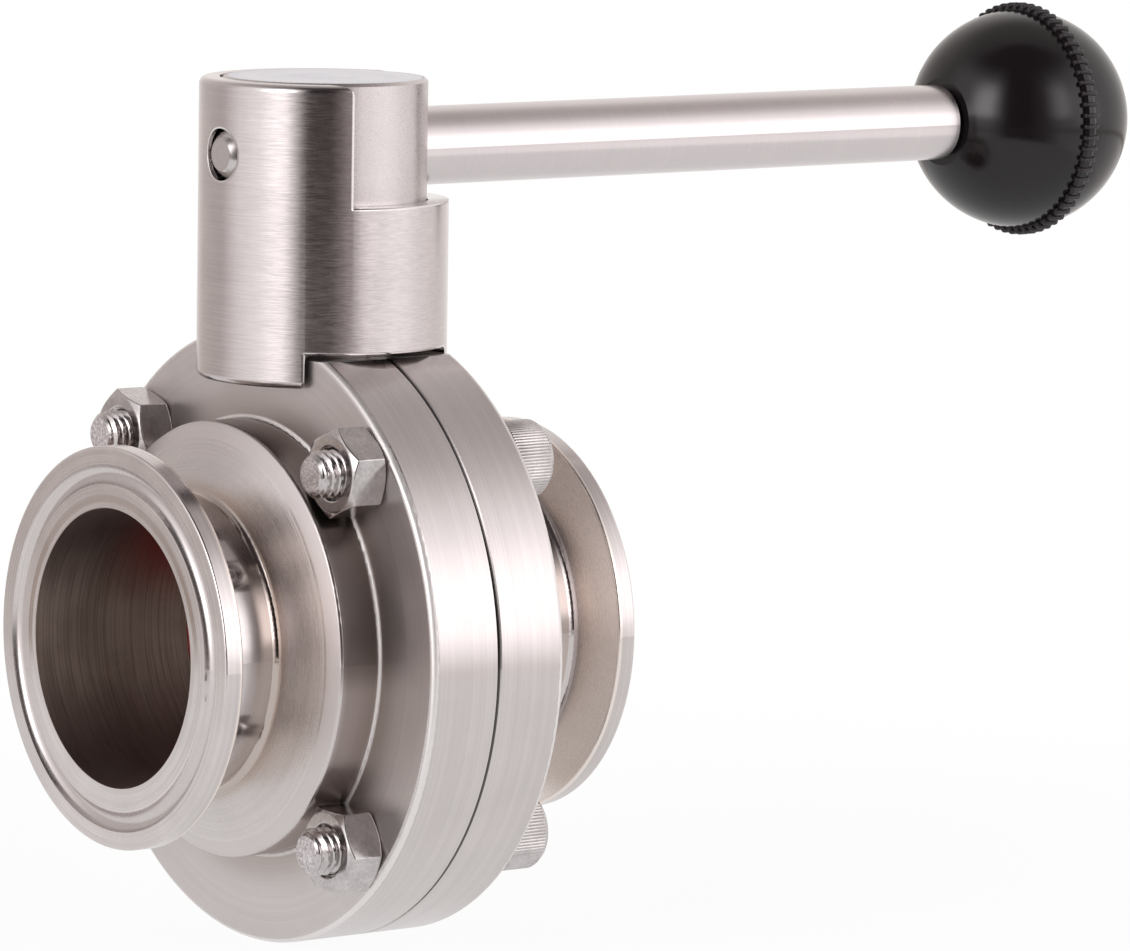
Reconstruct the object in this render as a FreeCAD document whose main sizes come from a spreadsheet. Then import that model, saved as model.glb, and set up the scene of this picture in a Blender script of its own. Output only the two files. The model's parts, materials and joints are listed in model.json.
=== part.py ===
import FreeCAD, Part

import math
import os
import re

import Sketcher
from FreeCAD import Placement, Rotation, Vector

# Sanitary butterfly valve with clamp ferrules and a spring locked pull handle.
# Millimetres, +Z up along the stem. The flow axis is +Y and the origin is the centre of the
# inlet ferrule's face. The valve is open: the disc lies along the flow and the handle points
# to +Y. The handle turns by a quarter towards +X to close it.

# Each row is a size that can be set by itself: its name, its value and what it measures.
SIZES = (
    ("face_to_face", 62.6, "from the inlet ferrule's face to the outlet's"),
    ("bore_radius", 17.5, "flow bore of the body halves"),
    ("rim_step", 6.55, "clamp ferrule's rim above the tube"),
    ("rim_thickness", 2.5, "ferrule rim at its outside"),
    ("taper_angle", 20, "back of the ferrule, degrees off its face"),
    ("rim_round", 0.3, "rounding of the ferrule's edges"),
    ("gasket_inset", 3.5, "from the rim's outside to the gasket groove's centre line"),
    ("gasket_depth", 0.9, "depth of the gasket groove"),
    ("gasket_round", 1.3, "section radius of the gasket groove"),
    ("tube_wall", 1.2, "wall of the tube between ferrule and hub"),
    ("neck_round", 1.0, "fillet between neck and hub"),
    ("hub_gap", 0.12, "between the hub and the nuts and screw heads"),
    ("hub_station", 15.6, "from the ferrule's face to the hub's edge"),
    ("hub_angle", 22, "slope of the hub's face in degrees"),
    ("hub_round", 0.4, "rounding of the hub's edge and foot"),
    ("flange_radius", 38.9, "outside of the body's flange"),
    ("flange_thickness", 10, "one half of the flange"),
    ("flange_round", 0.9, "rounding of the flange's outer edge"),
    ("seam_chamfer", 0.35, "bevel of the flange at the seam"),
    ("bolt_margin", 5.7, "from the flange's outside to each body screw"),
    ("bolt_radius", 3, "shank of a body screw"),
    ("bolt_length", 28, "body screw under its head"),
    ("bolt_hole_gap", 0.3, "radial gap round a body screw"),
    ("thread_gap", 0.05, "radial gap that stands for a thread's play"),
    ("bolt_head_radius", 5, "cap of a body screw"),
    ("bolt_head_height", 6, "cap of a body screw"),
    ("bolt_key_radius", 2.9, "corner radius of the key socket"),
    ("bolt_key_depth", 3, "depth of the key socket"),
    ("bolt_chamfer", 0.5, "bevels of a body screw"),
    ("nut_flat", 5, "from a nut's axis to its flats"),
    ("nut_height", 5, "thickness of a nut"),
    ("nut_bevel", 30, "slope of the bevel on a nut's corners in degrees"),
    ("seat_wall", 4.65, "seat from its bore to its outside"),
    ("seat_pocket_depth", 8.4, "pocket of the seat in each half"),
    ("seat_gap", 0.05, "between the seat and its pocket"),
    ("seat_lip", 0.2, "seat standing into the flow bore"),
    ("seat_round", 0.5, "rounding of the seat's inner edges"),
    ("disc_gap", 0.08, "between the disc's edge and the seat"),
    ("disc_edge", 3, "thickness of the disc's edge"),
    ("disc_middle", 6.4, "thickness of the disc at its middle"),
    ("disc_crown_radius", 6, "flat middle of the disc's faces"),
    ("disc_boss_radius", 2.2, "stem boss where it fades into the disc"),
    ("stem_radius", 5, "stem and lower trunnion"),
    ("running_gap", 0.05, "radial gap of turning and sliding fits"),
    ("stem_square", 7, "across the flats of the stem's top"),
    ("stem_square_height", 4.4, "height of the square top"),
    ("square_trim", 0.25, "square's corners inside the stem's outside"),
    ("trunnion_end_gap", 0.2, "under the lower trunnion"),
    ("tapping_room", 1, "spare depth of a tapped hole"),
    ("bush_wall", 1.9, "wall of the stem bushes"),
    ("lower_bush_cover", 5.4, "metal between the blind hole and the flange's outside"),
    ("lower_bush_floor", 2, "closed end of the lower bush"),
    ("flat_depth", 2.9, "flat on top below the flange's outside"),
    ("top_neck_radius", 10, "neck that carries the housing"),
    ("top_neck_height", 5, "neck above the flat"),
    ("housing_wall", 2.55, "wall of the handle housing"),
    ("fork_reach", 3.6, "fork's ends below the flat"),
    ("head_proud", 0.1, "turning head above the housing's top"),
    ("housing_round", 0.9, "rounding of the housing's outer edges"),
    ("fork_gap", 0.7, "between the fork and the flange"),
    ("fork_crown", 0.75, "between the fork's crown and the flat"),
    ("fork_round", 0.8, "inner corners of the fork"),
    ("floor_thickness", 4, "housing floor over the neck"),
    ("stem_hole_gap", 0.3, "round the stem in the housing floor"),
    ("sill_gap", 1, "between the rod and the window's lower edge"),
    ("window_gap", 0.74, "between the window's ends and the rod"),
    ("window_round", 1.5, "upper corners of the window"),
    ("sill_round", 0.8, "lower corners of the window"),
    ("lock_gap", 0.27, "radial gap round the lock pin in its holes"),
    ("head_radius", 13, "turning head"),
    ("head_gap", 0.25, "radial gap round the turning head"),
    ("head_roof", 2.9, "metal above the spring chamber"),
    ("head_lift", 0.1, "between the turning head and the housing floor"),
    ("head_chamfer", 0.4, "bevel round the turning head's top"),
    ("square_gap", 0.1, "round the stem's square in the turning head"),
    ("square_roof", 0.2, "above the stem's square in the turning head"),
    ("web_thickness", 3.6, "metal that the fixing screw clamps"),
    ("access_gap", 0.3, "round the fixing screw's head in the hole above it"),
    ("web_clearance", 1.3, "between the web and the spring chamber"),
    ("screw_radius", 2, "shank of the fixing screw"),
    ("screw_head_radius", 4, "countersunk head of the fixing screw"),
    ("screw_key_radius", 1.4, "corner radius of the fixing screw's socket"),
    ("screw_length", 11.6, "fixing screw from end to end"),
    ("screw_sink", 0.1, "fixing screw below the web's face"),
    ("cover_rim", 0.7, "rim of the turning head round the cover disc"),
    ("cover_thickness", 0.5, "cover disc"),
    ("rod_radius", 5, "handle rod"),
    ("rod_reach", 100.7, "from the stem axis to the rod's shoulder at the knob"),
    ("rod_chamfer", 0.8, "bevel at the rod's outer end"),
    ("stud_radius", 3, "threaded end of the rod in the knob"),
    ("stud_length", 12.5, "threaded end of the rod in the knob"),
    ("guide_length", 8, "rod guide in the turning head"),
    ("chamber_play", 0.25, "between the spring and its chamber"),
    ("collar_gap", 0.1, "round the lock pin's collar"),
    ("collar_thickness", 2, "collar of the lock pin"),
    ("collar_inset", 1.8, "collar inside the turning head's outside"),
    ("pin_radius", 3, "lock pin"),
    ("pin_end_gap", 0.65, "between the pin's end and the housing's bore"),
    ("pin_chamfer", 0.6, "bevel of the pin's end"),
    ("pin_stud_radius", 2.5, "threaded end of the pin in the rod"),
    ("pin_stud_length", 7, "threaded end of the pin in the rod"),
    ("spring_wire_radius", 0.4, "wire of the pull spring"),
    ("spring_play", 0.35, "between the spring and the rod"),
    ("spring_turns", 5.5, "coils of the pull spring"),
    ("knob_radius", 14.7, "ball of the knob"),
    ("knob_flat_rim", 0.8, "flat of the ball round the rod"),
    ("knob_band_rise", 0.6, "band above the ball"),
    ("knob_band_width", 1.8, "band along the rod"),
    ("knob_band_face", 0.9, "outer face of the band"),
    ("insert_wall", 1.5, "wall of the knob's threaded insert"),
    ("insert_floor", 1.3, "closed end of the insert"),
)

# Lengths that several pieces share, written in the sizes above.
CENTRE = "face_to_face / 2"
FLANGE_FACE = "face_to_face / 2 - flange_thickness"
NECK_RADIUS = "(bore_radius + tube_wall)"
RIM_RADIUS = f"({NECK_RADIUS} + rim_step)"
GASKET_RADIUS = f"({RIM_RADIUS} - gasket_inset)"
BOLT_CIRCLE = "(flange_radius - bolt_margin)"
BOLT_OFFSET = f"{BOLT_CIRCLE} * sin(45)"
NUT_CORNER = "(nut_flat / cos(30))"
HUB_CLEARANCE = f"max({NUT_CORNER} * cos(15); bolt_head_radius + hub_round)"
HUB_RADIUS = f"({BOLT_CIRCLE} - {HUB_CLEARANCE} - hub_gap)"
SEAT_BORE = "(bore_radius - seat_lip)"
SEAT_OUTSIDE = f"({SEAT_BORE} + seat_wall)"
SEAT_POCKET = f"({SEAT_OUTSIDE} + seat_gap)"
DISC_RADIUS = f"({SEAT_BORE} - disc_gap)"
BUSH_OUTSIDE = "stem_radius + running_gap + bush_wall"
BUSH_HOLE = BUSH_OUTSIDE + " + running_gap"
LOWER_END = "(flange_radius - lower_bush_cover)"

# Heights above the flow axis
TOP_FLAT = "(flange_radius - flat_depth)"
HOUSING_FOOT = f"({TOP_FLAT} - fork_reach)"
NECK_TOP = f"({TOP_FLAT} + top_neck_height)"
HOUSING_FLOOR = f"({NECK_TOP} + floor_thickness)"
HEAD_BOTTOM = f"({HOUSING_FLOOR} + head_lift)"
SOCKET_TOP = f"({HEAD_BOTTOM} + stem_square_height + square_roof)"
WEB_TOP = f"({SOCKET_TOP} + web_thickness)"
SPRING_COIL = "(rod_radius + spring_play + spring_wire_radius)"
CHAMBER_RADIUS = f"({SPRING_COIL} + spring_wire_radius + chamber_play)"
HANDLE_HEIGHT = f"({WEB_TOP} + web_clearance + {CHAMBER_RADIUS})"
WINDOW_SILL = f"({HANDLE_HEIGHT} - rod_radius - sill_gap)"
HEAD_TOP = f"({HANDLE_HEIGHT} + {CHAMBER_RADIUS} + head_roof)"
HOUSING_TOP = f"({HEAD_TOP} - head_proud)"
LOCK_HOLE = "(pin_radius + lock_gap)"

# Distances from the stem axis
HOUSING_BORE = "(head_radius + head_gap)"
HOUSING_RADIUS = f"({HOUSING_BORE} + housing_wall)"
COVER_RADIUS = "(head_radius - cover_rim)"
SHOULDER = "head_radius - guide_length"
COLLAR_FACE = "(head_radius - collar_inset)"
COLLAR_BACK = f"{COLLAR_FACE} - collar_thickness"
PIN_END = f"({HOUSING_BORE} - pin_end_gap)"
KNOB_HOLE = "stud_radius + thread_gap + insert_wall + running_gap"
KNOB_FLAT = "(rod_radius + knob_flat_rim)"
KNOB_CENTRE = f"rod_reach + sqrt(knob_radius * knob_radius - {KNOB_FLAT} * {KNOB_FLAT})"
INSERT_END = "rod_reach + stud_length + insert_floor"

doc = FreeCAD.newDocument("butterfly_valve")
sheet = doc.addObject("Spreadsheet::Sheet", "Sizes")
for row, (alias, value, meaning) in enumerate(SIZES, start=1):
    sheet.set(f"A{row}", meaning)
    sheet.set(f"B{row}", str(value))
    sheet.setAlias(f"B{row}", alias)
doc.recompute()

ALIASES = {alias for alias, _, _ in SIZES}
parts = []


def bound(text):
    """The expression that an object uses for a length written in the sheet's names."""
    return re.sub(r"[a-z_]+", lambda m: f"Sizes.{m[0]}" if m[0] in ALIASES else m[0], str(text))


def size(text):
    """The present value of a length written in the sheet's names."""
    return float(sheet.evalExpression(str(text)))


def bind(item, **sizes):
    """Ties an object's properties to the sheet."""
    for name, text in sizes.items():
        item.setExpression(name, bound(text))
    return item


def new_body(name):
    body = doc.addObject("PartDesign::Body", name)
    body.Label = name
    parts.append(body)
    return body


def finish(item, name):
    """Keeps an object made with primitives as a sub-part."""
    item.Label = name
    parts.append(item)
    return item


def sketch_on(body, plane, offset="0", shift="0"):
    """An empty sketch on one of the body's own planes, moved along its normal and its first axis."""
    sketch = body.newObject("Sketcher::SketchObject", body.Name + "_sketch")
    support = next(f for f in body.Origin.OriginFeatures if f.Role == plane)
    sketch.AttachmentSupport = [(support, "")]
    sketch.MapMode = "FlatFace"
    sketch.AttachmentOffset = Placement(Vector(size(shift), 0, size(offset)), Rotation())
    for letter, text in (("x", shift), ("z", offset)):
        if text != "0":
            sketch.setExpression(f"AttachmentOffset.Base.{letter}", bound(text))
    return sketch


def pin_point(sketch, geometry, point, across, up):
    """Fixes one point of a sketch at two lengths from its origin."""
    for kind, text in (("DistanceX", across), ("DistanceY", up)):
        rule = Sketcher.Constraint(kind, -1, 1, geometry, point, size(text))
        index = sketch.addConstraint(rule)
        sketch.setExpression(f"Constraints[{index}]", bound(text))


def outline(sketch, points):
    """A closed outline of straight lines through points given as pairs of lengths."""
    places = [Vector(size(across), size(up), 0) for across, up in points]
    count = len(points)
    lines = [
        sketch.addGeometry(Part.LineSegment(places[i], places[(i + 1) % count]))
        for i in range(count)
    ]
    for i, line in enumerate(lines):
        sketch.addConstraint(Sketcher.Constraint("Coincident", line, 2, lines[(i + 1) % count], 1))
    for line, (across, up) in zip(lines, points):
        pin_point(sketch, line, 1, across, up)
    return sketch


def circle(sketch, radius, across="0", up="0"):
    ring = Part.Circle(Vector(size(across), size(up), 0), Vector(0, 0, 1), size(radius))
    index = sketch.addGeometry(ring)
    pin_point(sketch, index, 3, across, up)
    rule = sketch.addConstraint(Sketcher.Constraint("Radius", index, size(radius)))
    sketch.setExpression(f"Constraints[{rule}]", bound(radius))
    return sketch


def half_circle(sketch, radius, across, up, start):
    """Half a round, closed by its straight side, that begins at an angle in degrees."""
    centre = Vector(size(across), size(up), 0)
    begin = math.radians(start)
    ring = Part.Circle(centre, Vector(0, 0, 1), size(radius))
    arc = sketch.addGeometry(Part.ArcOfCircle(ring, begin, begin + math.pi))
    reach = Vector(math.cos(begin), math.sin(begin), 0) * size(radius)
    line = sketch.addGeometry(Part.LineSegment(centre - reach, centre + reach))
    sketch.addConstraint(Sketcher.Constraint("Coincident", arc, 2, line, 1))
    sketch.addConstraint(Sketcher.Constraint("Coincident", line, 2, arc, 1))
    sketch.addConstraint(Sketcher.Constraint("Horizontal", line))
    sketch.addConstraint(Sketcher.Constraint("PointOnObject", arc, 3, line))
    pin_point(sketch, arc, 3, across, up)
    rule = sketch.addConstraint(Sketcher.Constraint("Radius", arc, size(radius)))
    sketch.setExpression(f"Constraints[{rule}]", bound(radius))
    return sketch


def corner_with_arc(sketch, corners, radius, across, up):
    """Straight lines through the corners, closed by a quarter round from the first to the last."""
    places = [Vector(size(a), size(b), 0) for a, b in corners]
    lines = [sketch.addGeometry(Part.LineSegment(p, q)) for p, q in zip(places, places[1:])]
    for before, after in zip(lines, lines[1:]):
        sketch.addConstraint(Sketcher.Constraint("Coincident", before, 2, after, 1))
    for line, (a, b) in zip(lines, corners):
        pin_point(sketch, line, 1, a, b)
    pin_point(sketch, lines[-1], 2, *corners[-1])
    centre = Vector(size(across), size(up), 0)
    ring = Part.Circle(centre, Vector(0, 0, 1), size(radius))
    arc = sketch.addGeometry(Part.ArcOfCircle(ring, 0, math.pi / 2))
    sketch.addConstraint(Sketcher.Constraint("Coincident", arc, 1, lines[0], 1))
    sketch.addConstraint(Sketcher.Constraint("Coincident", arc, 2, lines[-1], 2))
    rule = sketch.addConstraint(Sketcher.Constraint("Radius", arc, size(radius)))
    sketch.setExpression(f"Constraints[{rule}]", bound(radius))
    return sketch


def spun(body, sketch, cut=False):
    """Turns a sketch once round its own upright axis."""
    kind = "PartDesign::Groove" if cut else "PartDesign::Revolution"
    feature = body.newObject(kind, body.Name + ("_groove" if cut else "_turned"))
    feature.Profile = sketch
    feature.ReferenceAxis = (sketch, ["V_Axis"])
    feature.Angle = 360
    doc.recompute()
    return feature


def padded(body, sketch, length):
    pad = body.newObject("PartDesign::Pad", body.Name + "_pad")
    pad.Profile = sketch
    bind(pad, Length=length)
    doc.recompute()
    return pad


def pocketed(body, sketch, length=None, along_normal=False):
    """Cuts a sketch into the body, against its normal unless told, right through without a length."""
    before = body.Shape.Volume
    pocket = body.newObject("PartDesign::Pocket", body.Name + "_pocket")
    pocket.Profile = sketch
    pocket.Reversed = along_normal
    if length is None:
        pocket.Type = "ThroughAll"
    else:
        bind(pocket, Length=length)
    doc.recompute()
    if not body.Shape.Volume < before:
        raise RuntimeError(f"{pocket.Name} cuts nothing")
    return pocket


def rings(feature, wanted):
    """The names of a feature's full circular edges with the wanted (radius, y) values."""
    found = []
    for index, edge in enumerate(feature.Shape.Edges, start=1):
        curve = edge.Curve
        if not isinstance(curve, Part.Circle):
            continue
        for radius, station in wanted:
            near = abs(curve.Radius - size(radius)) < 1e-4
            if near and abs(curve.Center.y - size(station)) < 1e-4:
                found.append(f"Edge{index}")
    return found


def is_straight(edge):
    ends = [vertex.Point for vertex in edge.Vertexes]
    return len(ends) == 2 and abs(ends[0].distanceToPoint(ends[1]) - edge.Length) < 1e-6


def edges_where(feature, test):
    return [f"Edge{i}" for i, e in enumerate(feature.Shape.Edges, start=1) if test(e)]


def rounded(body, feature, edges, radius):
    fillet = body.newObject("PartDesign::Fillet", body.Name + "_fillet")
    fillet.Base = (feature, edges)
    bind(fillet, Radius=radius)
    doc.recompute()
    return fillet


def bevelled(body, feature, edges, width):
    chamfer = body.newObject("PartDesign::Chamfer", body.Name + "_chamfer")
    chamfer.Base = (feature, edges)
    bind(chamfer, Size=width)
    doc.recompute()
    return chamfer


def cylinder(name, radius, height, x="0", y="0", z="0"):
    item = doc.addObject("Part::Cylinder", name)
    bind(item, Radius=radius, Height=height)
    return moved(item, x, y, z)


def moved(item, x="0", y="0", z="0", turn=None):
    """Places an object at bound coordinates, turned first if asked."""
    item.Placement = Placement(Vector(size(x), size(y), size(z)), turn or Rotation())
    for letter, text in (("x", x), ("y", y), ("z", z)):
        item.setExpression(f"Placement.Base.{letter}", bound(text))
    return item


def boolean(kind, name, *items):
    """Part::MultiFuse, Part::MultiCommon or Part::Cut of objects."""
    item = doc.addObject(kind, name)
    if kind == "Part::Cut":
        item.Base, item.Tool = items
    else:
        item.Shapes = list(items)
    doc.recompute()
    return item


# Body: two turned halves, mirror images, bolted together round the seat and the stem

def body_half(name, inlet):
    """One half of the body. Stations count from its own ferrule's face."""
    body = new_body(name)

    def along(station):
        return station if inlet else f"face_to_face - ({station})"

    taper_end = "rim_thickness + rim_step * tan(taper_angle)"
    cone_foot = f"hub_station - ({HUB_RADIUS} - {NECK_RADIUS}) * tan(hub_angle)"
    pocket_face = CENTRE + " - seat_pocket_depth"
    profile = (
        ("bore_radius", "0"),
        (RIM_RADIUS, "0"),
        (RIM_RADIUS, "rim_thickness"),
        (NECK_RADIUS, taper_end),
        (NECK_RADIUS, cone_foot),
        (HUB_RADIUS, "hub_station"),
        (HUB_RADIUS, FLANGE_FACE),
        ("flange_radius", FLANGE_FACE),
        ("flange_radius", CENTRE),
        (SEAT_POCKET, CENTRE),
        (SEAT_POCKET, pocket_face),
        ("bore_radius", pocket_face),
    )
    section = outline(sketch_on(body, "XY_Plane"), [(r, along(s)) for r, s in profile])
    turned = spun(body, section)

    def soften(tool, feature, places, width):
        return tool(body, feature, rings(feature, [(r, along(s)) for r, s in places]), width)

    rim = [(RIM_RADIUS, "0"), (RIM_RADIUS, "rim_thickness")]
    neck = [(NECK_RADIUS, taper_end), (NECK_RADIUS, cone_foot)]
    hub = [(HUB_RADIUS, "hub_station"), (HUB_RADIUS, FLANGE_FACE)]
    turned = soften(rounded, turned, rim, "rim_round")
    turned = soften(rounded, turned, neck, "neck_round")
    turned = soften(rounded, turned, hub, "hub_round")
    turned = soften(rounded, turned, [("flange_radius", FLANGE_FACE)], "flange_round")
    turned = soften(bevelled, turned, [("flange_radius", CENTRE)], "seam_chamfer")

    groove_centre = along("gasket_depth - gasket_round")
    groove = sketch_on(body, "XY_Plane")
    spun(body, circle(groove, "gasket_round", GASKET_RADIUS, groove_centre), cut=True)

    # The flat on top, wider than the flange, and the neck that stands on it
    ends = (along(FLANGE_FACE + " - hub_round"), along(CENTRE + " + hub_round"))
    plan = [("-flange_radius", ends[0]), ("flange_radius", ends[0])]
    plan += [("flange_radius", ends[1]), ("-flange_radius", ends[1])]
    flat = outline(sketch_on(body, "XY_Plane", TOP_FLAT), plan)
    pocketed(body, flat, along_normal=True)
    start = 180 if inlet else 0
    neck_plan = sketch_on(body, "XY_Plane", TOP_FLAT)
    padded(body, half_circle(neck_plan, "top_neck_radius", "0", CENTRE, start), "top_neck_height")

    # Holes of the stem bushes, up through the neck and blind below
    pocketed(body, circle(sketch_on(body, "XY_Plane"), BUSH_HOLE, "0", CENTRE), along_normal=True)
    pocketed(body, circle(sketch_on(body, "XY_Plane"), BUSH_HOLE, "0", CENTRE), LOWER_END)

    # Four screw holes, evenly round the flow axis
    hole_radius = "bolt_radius + bolt_hole_gap"
    drill = circle(sketch_on(body, "XZ_Plane"), hole_radius, BOLT_OFFSET, BOLT_OFFSET)
    hole = pocketed(body, drill)
    pattern = body.newObject("PartDesign::PolarPattern", name + "_holes")
    pattern.Originals = [hole]
    flow_axis = next(f for f in body.Origin.OriginFeatures if f.Role == "Y_Axis")
    pattern.Axis = (flow_axis, [""])
    pattern.Angle = 360
    pattern.Occurrences = 4
    body.Tip = pattern
    doc.recompute()
    return body


body_half("body_half_inlet", inlet=True)
body_half("body_half_outlet", inlet=False)


# Seat: a silicone ring in the pocket of both halves, pierced by the stem

def seat_ring():
    body = new_body("seat_ring")
    near = CENTRE + " - seat_pocket_depth + seat_gap"
    far = CENTRE + " + seat_pocket_depth - seat_gap"
    profile = [(SEAT_BORE, near), (SEAT_OUTSIDE, near), (SEAT_OUTSIDE, far), (SEAT_BORE, far)]
    turned = spun(body, outline(sketch_on(body, "XY_Plane"), profile))
    inner_edges = rings(turned, [(SEAT_BORE, near), (SEAT_BORE, far)])
    rounded(body, turned, inner_edges, "seat_round")
    stem_hole = "stem_radius + running_gap"
    pocketed(body, circle(sketch_on(body, "XY_Plane"), stem_hole, "0", CENTRE), along_normal=True)
    pocketed(body, circle(sketch_on(body, "XY_Plane"), stem_hole, "0", CENTRE))


seat_ring()


# Disc: a lens with a spherical edge, in one piece with its stem and lower trunnion

def disc_and_stem():
    ball = doc.addObject("Part::Sphere", "disc_ball")
    bind(ball, Radius=DISC_RADIUS)
    moved(ball, y=CENTRE)
    across = Rotation(Vector(0, 1, 0), 90)
    back = Rotation(Vector(0, 1, 0), -90)
    faces = []
    for side, turn in (("front", across), ("back", back)):
        cone = doc.addObject("Part::Cone", f"disc_{side}")
        bind(cone, Radius1=DISC_RADIUS, Radius2="disc_crown_radius")
        bind(cone, Height="(disc_middle - disc_edge) / 2")
        reach = "disc_edge / 2" if side == "front" else "-disc_edge / 2"
        faces.append(moved(cone, x=reach, y=CENTRE, turn=turn))
    edge = doc.addObject("Part::Cylinder", "disc_edge_band")
    bind(edge, Radius=DISC_RADIUS, Height="disc_edge")
    faces.append(moved(edge, x="-disc_edge / 2", y=CENTRE, turn=across))
    for side, turn in (("upper", Rotation()), ("lower", Rotation(Vector(1, 0, 0), 180))):
        boss = doc.addObject("Part::Cone", f"disc_{side}_boss")
        bind(boss, Radius1="disc_boss_radius", Radius2="stem_radius", Height=DISC_RADIUS)
        faces.append(moved(boss, y=CENTRE, turn=turn))
    blank = boolean("Part::MultiFuse", "disc_solid", *faces)
    lens = boolean("Part::MultiCommon", "disc_lens", ball, blank)

    root = DISC_RADIUS + " - disc_edge / 2"
    tip = f"{LOWER_END} - lower_bush_floor - running_gap - trunnion_end_gap"
    upper = cylinder("disc_stem", "stem_radius", f"{HOUSING_FLOOR} - ({root})", y=CENTRE, z=root)
    lower = cylinder("disc_trunnion", "stem_radius", f"{tip} - ({root})", y=CENTRE, z=f"-({tip})")
    key_foot = HOUSING_FLOOR + " - stem_radius"
    key_height = "stem_square_height + head_lift + stem_radius"
    key = doc.addObject("Part::Box", "disc_square")
    bind(key, Length="stem_square", Width="stem_square", Height=key_height)
    moved(key, "-stem_square / 2", CENTRE + " - stem_square / 2", key_foot)
    trim = cylinder("disc_square_round", "stem_radius - square_trim", key_height, y=CENTRE, z=key_foot)
    square = boolean("Part::MultiCommon", "disc_key", key, trim)
    whole = boolean("Part::MultiFuse", "disc_whole", lens, upper, lower, square)
    depth = "screw_length - web_thickness - square_roof + screw_sink + tapping_room"
    tapping_end = f"{HEAD_BOTTOM} + stem_square_height - ({depth})"
    tapped = cylinder("disc_tapping", "screw_radius + thread_gap", depth, y=CENTRE, z=tapping_end)
    finish(boolean("Part::Cut", "disc_and_stem", whole, tapped), "disc_and_stem")


disc_and_stem()


# Stem bushes: a plain tube above and a closed cup below

def stem_bushes():
    bottom = SEAT_POCKET
    inside = "stem_radius + running_gap"
    reach = f"{NECK_TOP} - {bottom}"
    upper = cylinder("upper_tube", BUSH_OUTSIDE, reach, y=CENTRE, z=bottom)
    upper_hole = cylinder("upper_hole", inside, reach, y=CENTRE, z=bottom)
    finish(boolean("Part::Cut", "upper_stem_bush", upper, upper_hole), "upper_stem_bush")
    cup_end = f"{LOWER_END} - running_gap"
    cup_floor = f"{cup_end} - lower_bush_floor"
    reach = f"{cup_end} - {bottom}"
    lower = cylinder("lower_tube", BUSH_OUTSIDE, reach, y=CENTRE, z=f"-({cup_end})")
    depth = f"{cup_floor} - {bottom}"
    lower_hole = cylinder("lower_hole", inside, depth, y=CENTRE, z=f"-({cup_floor})")
    finish(boolean("Part::Cut", "lower_stem_bush", lower, lower_hole), "lower_stem_bush")


stem_bushes()


# Body screws with their nuts, one pair in each quarter

def hexagon(sketch, corner, start=0):
    """A hexagon by its corner radius. Its first corner is turned by an angle in degrees."""
    angles = [start + 60 * i for i in range(6)]
    return outline(sketch, [(f"({corner}) * cos({a})", f"({corner}) * sin({a})") for a in angles])


def body_screw(name, side_x, side_z):
    """Hexagon socket head screw, pushed in from the outlet side."""
    body = new_body(name)
    seat = "face_to_face / 2 + flange_thickness"
    profile = [
        ("0", seat + " - bolt_length"),
        ("bolt_radius - bolt_chamfer", seat + " - bolt_length"),
        ("bolt_radius", seat + " - bolt_length + bolt_chamfer"),
        ("bolt_radius", seat),
        ("bolt_head_radius", seat),
        ("bolt_head_radius", seat + " + bolt_head_height - bolt_chamfer"),
        ("bolt_head_radius - bolt_chamfer", seat + " + bolt_head_height"),
        ("0", seat + " + bolt_head_height"),
    ]
    spun(body, outline(sketch_on(body, "XY_Plane"), profile))
    head_face = sketch_on(body, "XZ_Plane", f"-({seat} + bolt_head_height)")
    pocketed(body, hexagon(head_face, "bolt_key_radius"), "bolt_key_depth", along_normal=True)
    moved(body, f"{side_x} * {BOLT_OFFSET}", "0", f"{side_z} * {BOLT_OFFSET}")


def body_nut(name, side_x, side_z, turn):
    """Hexagon nut with bevelled corners, seated on the inlet half's flange."""
    body = new_body(name)
    plan = sketch_on(body, "XZ_Plane", f"-({FLANGE_FACE})")
    padded(body, hexagon(plan, NUT_CORNER, turn), "nut_height")
    outside = f"{NUT_CORNER} + thread_gap"
    for face, inward in ((FLANGE_FACE, "-"), (FLANGE_FACE + " - nut_height", "+")):
        wedge = [
            ("nut_flat", face),
            (outside, face),
            (outside, f"{face} {inward} ({outside} - nut_flat) * tan(nut_bevel)"),
        ]
        spun(body, outline(sketch_on(body, "XY_Plane"), wedge), cut=True)
    pocketed(body, circle(sketch_on(body, "XZ_Plane"), "bolt_radius + thread_gap"))
    moved(body, f"{side_x} * {BOLT_OFFSET}", "0", f"{side_z} * {BOLT_OFFSET}")


# Each screw's side across and up, and the angle in degrees that its nut was tightened to
BOLTS = ((1, 1, 22), (-1, 1, 44), (-1, -1, 26), (1, -1, 57))
for number, (side_x, side_z, turn) in enumerate(BOLTS, start=1):
    body_screw(f"body_screw_{number}", side_x, side_z)
    body_nut(f"body_nut_{number}", side_x, side_z, turn)


# Housing: one turned sleeve, forked over the flange, with the window and both lock holes

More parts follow.
